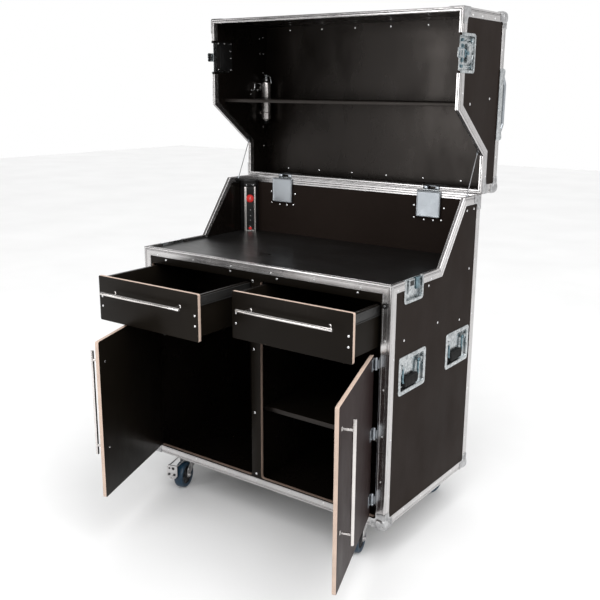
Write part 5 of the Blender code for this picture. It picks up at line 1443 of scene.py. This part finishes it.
part.transform(face_m @ Matrix.Translation((width / 2, 0.924, 0.0)))
add_mesh(sw, part)
finish("push_switch", sw, "switch", (RED, CHROME), ("power_switch",), smooth=35)

# ====================================================== dispenser in the lid
# a slim steel bottle in its clip on the lid's left wall (closed positions)
can = bmesh.new()
cx, cz = 0.0345, 1.0930
m = Matrix(((1, 0, 0, cx), (0, 0, -1, 0), (0, 1, 0, cz), (0, 0, 0, 1)))   # local Z runs to -Y, which is up once open


def up(y_open):
    """Local height for a height above the body's corner in the open case."""
    return y_open - HC - D


base, head = up(1.236), up(1.392)
r = 0.0200
lathe(can, [(0, base - 0.006), (0.0090, base - 0.006), (0.0110, base - 0.004), (0.0120, base), (0.0150, base + 0.0008), (r, base + 0.0030),
            (r, base + 0.0500), (r, base + 0.0760)], m, 48, 0)
lathe(can, [(0, base + 0.0758), (r + 0.0008, base + 0.0758), (r + 0.0008, base + 0.0890), (0, base + 0.0890)], m, 48, 1)
lathe(can, [(0, base + 0.0888), (r, base + 0.0888), (r, head - 0.0120), (r - 0.0012, head - 0.0080), (0.0120, head - 0.0030), (0.0105, head - 0.0010), (0.0105, head + 0.0020), (0, head + 0.0020)], m, 48, 0)
lathe(can, [(0, base - 0.016), (0.0085, base - 0.016), (0.0105, base - 0.013), (0.0112, base - 0.0055), (0, base - 0.0055)], m, 32, 1)
lathe(can, [(0, head + 0.0015), (0.0085, head + 0.0015), (0.0085, head + 0.0080), (0.0062, head + 0.0095), (0.0045, head + 0.0150), (0.0058, head + 0.0180), (0.0058, head + 0.0215), (0.0035, head + 0.0235), (0, head + 0.0235)], m, 28, 2)
lever = bmesh.new()
tube(lever, [(0.000, 0.000, head + 0.0120), (0.008, 0.0, head + 0.0180), (0.015, 0.0, head + 0.0190), (0.021, 0.0, head + 0.0120), (0.025, 0.0, head - 0.0010), (0.026, 0.0, head - 0.0110)], 0.0022, 12, mat=2)
tube(lever, [(-0.002, 0.0, head + 0.0060), (-0.010, 0.0, head + 0.0070), (-0.0165, 0.0, head + 0.0020)], 0.0030, 12, mat=2)
lever.transform(m)
add_mesh(can, lever)
for z in (base + 0.0290, head - 0.0290):
    clip = bmesh.new()
    pts = [(-0.0225, -0.0120, z)]
    for t in range(-150, 151, 15):
        a = math.radians(180 + t + 180)
        pts.append(((r + 0.0014) * math.cos(a), (r + 0.0014) * math.sin(a), z))
    pts.append((-0.0225, 0.0120, z))
    tube(clip, pts, 0.0012, 8, mat=0)
    box(clip, (-0.0234, -0.0140, z - 0.006), (-0.0216, 0.0140, z + 0.006), 0.0005, mat=0)
    clip.transform(m)
    add_mesh(can, clip)
back = bmesh.new()
box(back, (-0.0234, -0.0090, base + 0.010), (-0.0218, 0.0090, head - 0.010), 0.0004, mat=1)
back.transform(m)
add_mesh(can, back)
finish("dispenser_bottle", can, "lid", (BAR, BLACK, ZINC), smooth=35)
# the wire clip beside it
bm = bmesh.new()
xw = INNER - GAP
pts = [(xw + 0.0008, 0.2600, 1.0250), (xw + 0.012, 0.2600, 1.0250), (xw + 0.0150, 0.2560, 1.0270), (xw + 0.0150, 0.2350, 1.0300), (xw + 0.0150, 0.2330, 1.0400),
       (xw + 0.0150, 0.2330, 1.0620), (xw + 0.0150, 0.2370, 1.0680), (xw + 0.0150, 0.2560, 1.0680), (xw + 0.012, 0.2600, 1.0680), (xw + 0.0008, 0.2600, 1.0680)]
tube(bm, pts, 0.0018, 10)
for z in (1.0250, 1.0680):
    lathe(bm, [(0, 0), (0.0055, 0), (0.0055, 0.0012), (0.0035, 0.0022), (0, 0.0022)], aim((xw, 0.2600, z), (1, 0, 0)), 18)
finish("wire_clip", bm, "lid", (CHROME,), smooth=40)

# ================================================================= bow handles
for side in SIDES:
    sx = 1 if side == "left" else -1
    edge_x = 0.0 if side == "left" else W
    x = edge_x + sx * 0.0075
    z = LID_TOP
    bm = bmesh.new()
    f0, f1 = sorted((edge_x + sx * 0.0003, edge_x + sx * 0.0300))
    board(bm, rounded(f0, 0.1800, f1, 0.4230, 0.003, 4), 0.0003, 0.0020, bevel=0.0005, matrix=FACE["top"])
    # the angle's other leg lies over the strip on the lid's side
    board(bm, rounded(0.1800, LID_TOP - 0.0310, 0.4230, LID_TOP + 0.0018, 0.003, 4), 0.0004, 0.0019, bevel=0.0005, matrix=FACE[side])
    # wedge shaped end pieces
    wedge_m = Matrix(((0, 0, 1, 0), (1, 0, 0, 0), (0, 1, 0, 0), (0, 0, 0, 1)))
    w0, w1 = sorted((edge_x - sx * 0.0012, edge_x + sx * 0.0240))
    for y0, s in ((0.1810, 1), (0.4220, -1)):
        outline = [(y0, z + 0.0010), (y0, z + 0.0120), (y0 + s * 0.0060, z + 0.0168), (y0 + s * 0.0150, z + 0.0160), (y0 + s * 0.0420, z + 0.0060), (y0 + s * 0.0470, z + 0.0010)]
        board(bm, softened(outline, [0.0, 0.004, 0.004, 0.006, 0.004, 0.0], 4), w0, w1, bevel=0.0022, matrix=wedge_m)
    for y in (0.2450, 0.3580):
        at, out = on_face(side, y, LID_TOP - 0.0160, 0.0018)
        rivet(bm, at, out)
        rivet(bm, Vector((edge_x + sx * 0.0225, y, z + 0.0019)), Vector((0, 0, 1)), 0.0033, 0.0014)
    ya, yb, rise = 0.1970, 0.4060, 0.0330
    pts = [Vector((x, ya, z + 0.0070)), Vector((x, ya + 0.0360, z + rise)), Vector((x, yb - 0.0360, z + rise)), Vector((x, yb, z + 0.0070))]
    path = [pts[0]]
    for k in (1, 2):
        u, v = (pts[k - 1] - pts[k]).normalized(), (pts[k + 1] - pts[k]).normalized()
        half = u.angle(v) / 2
        reach = 0.020 / math.tan(half)
        centre = pts[k] + (u + v).normalized() * (0.020 / math.sin(half))
        a, b = pts[k] + u * reach - centre, pts[k] + v * reach - centre
        for t in range(9):
            f = t / 8
            turned = (a * math.sin((1 - f) * (math.pi - 2 * half)) + b * math.sin(f * (math.pi - 2 * half))) / math.sin(math.pi - 2 * half)
            path.append(centre + turned)
    path.append(pts[3])
    tube(bm, path, 0.0064, 24, mat=1)
    finish(f"bow_handle_{side}", bm, "lid", (ZINC, NICKEL), (f"lid_bow_handle_{side}",), smooth=40)

# ======================================================================= stays
for side in SIDES:
    x = 0.0175 if side == "left" else W - 0.0175
    s = 1 if side == "left" else -1
    foot = CASE @ Vector((x, 0.515, 1.001))
    top = CASE @ Vector((x, 0.590, 1.162))
    span = top - foot
    axis = span.normalized()
    u = axis.orthogonal().normalized()
    v = axis.cross(u)
    bm = bmesh.new()
    start, end = foot + axis * 0.010, top - axis * 0.010
    steps = 60
    for strand in range(3):
        pts = []
        for k in range(steps + 1):
            t = k / steps
            a = 2 * math.pi * (t * 9 + strand / 3)
            pts.append(start.lerp(end, t) + (u * math.cos(a) + v * math.sin(a)) * 0.00085)
        tube(bm, pts, 0.00095, 7)
    mesh = bpy.data.meshes.new(f"stay_wire_{side}")
    bmesh.ops.recalc_face_normals(bm, faces=bm.faces)
    bm.to_mesh(mesh)
    bm.free()
    mesh.materials.append(CABLE)
    mesh.shade_smooth()
    wire = bpy.data.objects.new(f"stay_wire_{side}", mesh)
    bpy.context.scene.collection.objects.link(wire)
    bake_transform(wire)
    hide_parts(f"stay_cable_{side}")
    # ends: crimp sleeve, eye and the bracket that each hooks into
    low = bmesh.new()
    lathe(low, [(0, -0.001), (0.0024, -0.001), (0.0027, 0.0006), (0.0027, 0.0110), (0.0022, 0.0125), (0, 0.0125)], aim(foot + axis * 0.004, axis), 18)
    lathe(low, [(0, -0.0030), (0.0052, -0.0030), (0.0058, -0.0020), (0.0058, 0.0020), (0.0052, 0.0030), (0, 0.0030)], aim(foot, Vector((s, 0, 0))), 20, 1)
    part = bmesh.new()
    lo, hi = sorted((x - s * 0.0034, x - s * 0.0022))
    board(part, softened([(0.505, 0.988), (0.527, 0.988), (0.527, 1.008), (0.505, 1.008)], 0.003), lo, hi, bevel=0.0004, mats=(1, 1),
          matrix=CASE @ Matrix(((0, 0, 1, 0), (1, 0, 0, 0), (0, 1, 0, 0), (0, 0, 0, 1))))
    add_mesh(low, part)
    finish(f"stay_foot_{side}", low, "case", (NICKEL, BLACK), place=Matrix.Identity(4))
    high = bmesh.new()
    lathe(high, [(0, -0.001), (0.0024, -0.001), (0.0027, 0.0006), (0.0027, 0.0110), (0.0022, 0.0125), (0, 0.0125)], aim(top - axis * 0.004, -axis), 18)
    lathe(high, [(0, -0.0030), (0.0062, -0.0030), (0.0068, -0.0020), (0.0068, 0.0020), (0.0062, 0.0030), (0, 0.0030)], aim(top, Vector((s, 0, 0))), 20, 1)
    part = bmesh.new()
    lo, hi = sorted((x - s * 0.0034, x - s * 0.0012))
    board(part, softened([(0.582, 1.150), (0.604, 1.156), (0.604, 1.178), (0.582, 1.170)], 0.003), lo, hi, bevel=0.0006, mats=(1, 1),
          matrix=CASE @ Matrix(((0, 0, 1, 0), (1, 0, 0, 0), (0, 1, 0, 0), (0, 0, 0, 1))))
    add_mesh(high, part)
    finish(f"stay_head_{side}", high, "lid", (NICKEL, BLACK), place=Matrix.Identity(4))

# ===================================================================== castors
for name, x, y, heading in CASTORS:
    plate = bmesh.new()
    board(plate, rounded(x - 0.0506, y - 0.0436, x + 0.0506, y + 0.0436, 0.006, 4), 0.0004, 0.0037, bevel=0.0008, matrix=FACE["bottom"])
    for dx in (-0.0395, 0.0395):
        for dy in (-0.0325, 0.0325):
            at = Vector((x + dx, y + dy, -0.0036))
            lathe(plate, [(0, 0), (0.0078, 0), (0.0078, 0.0010), (0, 0.0010)], aim(at, (0, 0, -1)), 24)
            lathe(plate, [(0, 0.0008), (0.0058, 0.0008), (0.0060, 0.0014), (0.0060, 0.0042), (0.0050, 0.0050), (0, 0.0050)], aim(at, (0, 0, -1)), 6)
    finish(f"castor_plate_{name}", plate, "case", (FORK,), smooth=30)

    fork = bmesh.new()
    lathe(fork, [(0, -0.0208), (0.0270, -0.0208), (0.0302, -0.0186), (0.0306, -0.0160), (0.0290, -0.0140), (0.0270, -0.0130),
                 (0.0270, -0.0116), (0.0292, -0.0104), (0.0300, -0.0080), (0.0285, -0.0056), (0.0240, -0.0042), (0, -0.0042)], None, 40)
    lathe(fork, [(0, -0.0250), (0.0075, -0.0250), (0.0088, -0.0236), (0.0088, -0.0200), (0, -0.0200)], None, 6)
    leg = [
        (-0.0230, -0.0225), (-0.0180, -0.0400), (-0.0020, -0.0560), (TRAIL - 0.0135, AXLE_Z + 0.0020), (TRAIL - 0.0105, AXLE_Z - 0.0070),
        (TRAIL, AXLE_Z - 0.0112), (TRAIL + 0.0105, AXLE_Z - 0.0070), (TRAIL + 0.0130, AXLE_Z + 0.0040), (TRAIL + 0.0080, AXLE_Z + 0.0260),
        (0.0300, -0.0380), (0.0255, -0.0225),
    ]
    leg_m = Matrix(((1, 0, 0, 0), (0, 0, 1, 0), (0, 1, 0, 0), (0, 0, 0, 1)))
    for s in (-1, 1):
        lo, hi = sorted((s * 0.0207, s * 0.0238))
        board(fork, softened(leg, [0.004, 0.012, 0.020, 0.008, 0.007, 0.010, 0.007, 0.008, 0.020, 0.012, 0.004], 4), lo, hi, bevel=0.0009, matrix=leg_m)
        # pressed stiffening rib
        rib = softened([(-0.0120, -0.0260), (-0.0060, -0.0400), (0.0180, -0.0590), (0.0260, -0.0560), (0.0160, -0.0300), (0.0150, -0.0260)], 0.005, 3)
        lo, hi = sorted((s * 0.0230, s * 0.0250))
        board(fork, rib, lo, hi, bevel=0.0009, matrix=leg_m)
        # rolled shoulder between the crown and the leg
        tube(fork, [(-0.0215, s * 0.0205, -0.0214), (0.0, s * 0.0207, -0.0212), (0.0245, s * 0.0205, -0.0214)], 0.0030, 12)
        # axle: washer, hex head or nut, and the bolt's end
        lathe(fork, [(0, 0), (0.0092, 0), (0.0092, 0.0012), (0, 0.0012)], aim((TRAIL, s * 0.0236, AXLE_Z), (0, s, 0)), 28)
        lathe(fork, [(0, 0.001), (0.0068, 0.001), (0.0072, 0.0018), (0.0072, 0.0044), (0.0060, 0.0052), (0, 0.0052)], aim((TRAIL, s * 0.0236, AXLE_Z), (0, s, 0)), 6)
        lathe(fork, [(0, 0.004), (0.0038, 0.004), (0.0038, 0.0062), (0.0030, 0.0070), (0, 0.0070)], aim((TRAIL, s * 0.0236, AXLE_Z), (0, s, 0)), 16)
    box(fork, (-0.0210, -0.0225, -0.0238), (0.0240, 0.0225, -0.0196), 0.0016)
    lathe(fork, [(0, -0.0200), (0.0052, -0.0200), (0.0052, 0.0200), (0, 0.0200)], aim((TRAIL, 0, AXLE_Z), (0, 1, 0)), 20)
    finish(f"castor_yoke_{name}", fork, f"castor_{name}", (FORK,), (f"castor_fork_{name}",), smooth=35)

    tyre = bmesh.new()
    half = WHEEL_W / 2
    hub_r = 0.0350
    outer = [(hub_r - 0.001, -half + 0.0035), (hub_r + 0.0015, -half + 0.0012), (WHEEL_R - 0.0085, -half), (WHEEL_R - 0.0035, -half + 0.0010),
             (WHEEL_R - 0.0010, -half + 0.0045), (WHEEL_R - 0.0002, -half + 0.0100), (WHEEL_R, 0.0), (WHEEL_R - 0.0002, half - 0.0100), (WHEEL_R - 0.0010, half - 0.0045),
             (WHEEL_R - 0.0035, half - 0.0010), (WHEEL_R - 0.0085, half), (hub_r + 0.0015, half - 0.0012), (hub_r - 0.001, half - 0.0035), (hub_r - 0.001, -half + 0.0035)]
    axle_m = aim((TRAIL, 0, AXLE_Z), (0, 1, 0))
    lathe(tyre, outer[:-1], axle_m, 72, closed=True)
    lathe(tyre, [(0.0056, -half + 0.0010), (0.0140, -half + 0.0002), (0.0150, -half + 0.0010), (0.0160, -half + 0.0060), (0.0310, -half + 0.0062), (0.0335, -half + 0.0026),
                 (hub_r, -half + 0.0024), (hub_r, half - 0.0024), (0.0335, half - 0.0026), (0.0310, half - 0.0062), (0.0160, half - 0.0060), (0.0150, half - 0.0010), (0.0140, half - 0.0002), (0.0056, half - 0.0010)],
          axle_m, 48, 1, closed=True)
    for k in range(6):
        spoke = bmesh.new()
        box(spoke, (0.0145, -0.0022, -half + 0.0026), (0.0330, 0.0022, half - 0.0026), 0.0008, mat=1)
        spoke.transform(axle_m @ turn(60 * k, "Z"))
        add_mesh(tyre, spoke)
    finish(f"castor_tyre_{name}", tyre, f"wheel_{name}", (TYRE, HUB), (f"castor_wheel_{name}",), smooth=35)

# wheel lock on the front left castor: bent block in front of the tread, two arms back to the fork, bolts
bm = bmesh.new()
flat_m = Matrix(((0, 0, 1, 0), (1, 0, 0, 0), (0, 1, 0, 0), (0, 0, 0, 1)))
block = [(-0.0360, -0.0240), (0.0040, -0.0240), (0.0040, -0.0640), (-0.0060, -0.0780), (-0.0300, -0.0780), (-0.0400, -0.0640), (-0.0400, -0.0300)]
holes = [[(cy + r * math.cos(math.radians(t)), cz + r * math.sin(math.radians(t))) for t in range(0, 360, 30)] for cy, cz, r in ((-0.0130, -0.0360, 0.0062), (-0.0290, -0.0360, 0.0040))]
board(bm, softened(block, [0.004, 0.004, 0.006, 0.008, 0.008, 0.006, 0.004], 3), 0.0985, 0.1010, holes=holes, bevel=0.0007, matrix=flat_m)
board(bm, softened(block, [0.004, 0.004, 0.006, 0.008, 0.008, 0.006, 0.004], 3), 0.0950, 0.0984, bevel=0.0005, mats=(1, 1), matrix=flat_m)
box(bm, (0.0120, -0.0345, -0.0285), (0.0990, -0.0305, -0.0245), 0.0008)
box(bm, (0.0120, 0.0000, -0.0285), (0.0990, 0.0036, -0.0245), 0.0008)
for cy, cz in ((-0.0300, -0.0600), (-0.0080, -0.0600)):
    lathe(bm, [(0, 0), (0.0050, 0), (0.0050, 0.0026), (0.0040, 0.0034), (0, 0.0034)], aim((0.1008, cy, cz), (1, 0, 0)), 6, 1)
finish("castor_lock_front_left", bm, "castor_front_left", (FORK, RECESS), smooth=35)

# ================================================================ stage, light
floor_mesh = bmesh.new()
bmesh.ops.create_grid(floor_mesh, x_segments=4, y_segments=4, size=14.0)
mesh = bpy.data.meshes.new("floor")
floor_mesh.to_mesh(mesh)
floor_mesh.free()
floor = bpy.data.objects.new("floor", mesh)
bpy.context.scene.collection.objects.link(floor)
p = Paint("studio_floor", roughness=0.75, specular=0.2)
p.colour(p.ramp(p.noise("Object", 1.5, 3.0), (0.3, (0.86, 0.86, 0.86)), (0.7, (0.90, 0.90, 0.90))))
p.bump((p.noise("Object", 300.0, 2.0), 0.03, 0.0003))
floor.data.materials.append(p.material)
floor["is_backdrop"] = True

world = bpy.data.worlds.new("studio")
bpy.context.scene.world = world
world.use_nodes = True
wt = world.node_tree
bg = wt.nodes["Background"]
coord = wt.nodes.new("ShaderNodeTexCoord")
dot = wt.nodes.new("ShaderNodeVectorMath")
dot.operation = "DOT_PRODUCT"
dot.inputs[1].default_value = Vector((0.45, 0.85, 0.28)).normalized()
wt.links.new(coord.outputs["Generated"], dot.inputs[0])
fade = wt.nodes.new("ShaderNodeMapRange")
fade.interpolation_type = "SMOOTHSTEP"
fade.inputs["From Min"].default_value = -0.75
fade.inputs["From Max"].default_value = 0.60
fade.inputs["To Min"].default_value = 0.10
fade.inputs["To Max"].default_value = 0.82
wt.links.new(dot.outputs["Value"], fade.inputs["Value"])
path = wt.nodes.new("ShaderNodeLightPath")
pick = wt.nodes.new("ShaderNodeMix")
pick.data_type = "FLOAT"
wt.links.new(path.outputs["Is Camera Ray"], pick.inputs[0])
wt.links.new(fade.outputs["Result"], pick.inputs[2])
pick.inputs[3].default_value = 1.0
wt.links.new(pick.outputs[0], bg.inputs["Strength"])
bg.inputs["Color"].default_value = (1.0, 1.0, 1.0, 1.0)


def softbox(name, at, target, size, power, colour=(1, 1, 1)):
    data = bpy.data.lights.new(name, "AREA")
    data.shape = "RECTANGLE"
    data.size, data.size_y = size
    data.energy = power
    data.color = colour
    obj = bpy.data.objects.new(name, data)
    bpy.context.scene.collection.objects.link(obj)
    obj.location = at
    obj.rotation_euler = (Vector(target) - Vector(at)).to_track_quat("-Z", "Y").to_euler()
    return obj


softbox("key_right", (3.6, -0.6, 2.6), (0, 0, 0.8), (1.6, 1.6), 18)
softbox("window_front", (-1.75, -4.20, 1.45), (0, 0.4, 1.3), (1.3, 1.7), 40)
softbox("window_left", (-4.60, -3.20, 1.60), (0, 0.2, 1.2), (1.2, 1.8), 22)
softbox("top", (0.2, -0.4, 4.4), (0, 0, 0.6), (2.6, 2.0), 40)
sun = bpy.data.lights.new("overall", "SUN")
sun.energy = 2.0
sun.angle = math.radians(70)
sun_obj = bpy.data.objects.new("overall", sun)
bpy.context.scene.collection.objects.link(sun_obj)
sun_obj.rotation_euler = Vector((-0.42, 0.52, -0.78)).to_track_quat("-Z", "Y").to_euler()

# ====================================================================== camera
az, el, roll = math.radians(35.8503), math.radians(14.2304), math.radians(0.3962)
right = Vector((math.cos(az), math.sin(az), 0))
forward = Vector((-math.sin(az) * math.cos(el), math.cos(az) * math.cos(el), -math.sin(el)))
upward = right.cross(forward)
right2 = right * math.cos(roll) + upward * math.sin(roll)
up2 = upward * math.cos(roll) - right * math.sin(roll)
bpy.context.scene.view_settings.view_transform = "Standard"
cam_data = bpy.data.cameras.new("camera")
cam_data.lens = 50.272
cam_data.sensor_width = 36.0
cam_data.clip_start, cam_data.clip_end = 0.05, 100.0
cam = bpy.data.objects.new("camera", cam_data)
bpy.context.scene.collection.objects.link(cam)
basis = Matrix((right2, up2, -forward)).transposed().to_4x4()
cam.matrix_world = Matrix.Translation((1.64362, -2.27205, 1.49544)) @ basis
bpy.context.scene.camera = cam
bpy.context.view_layer.update()

low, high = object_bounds()
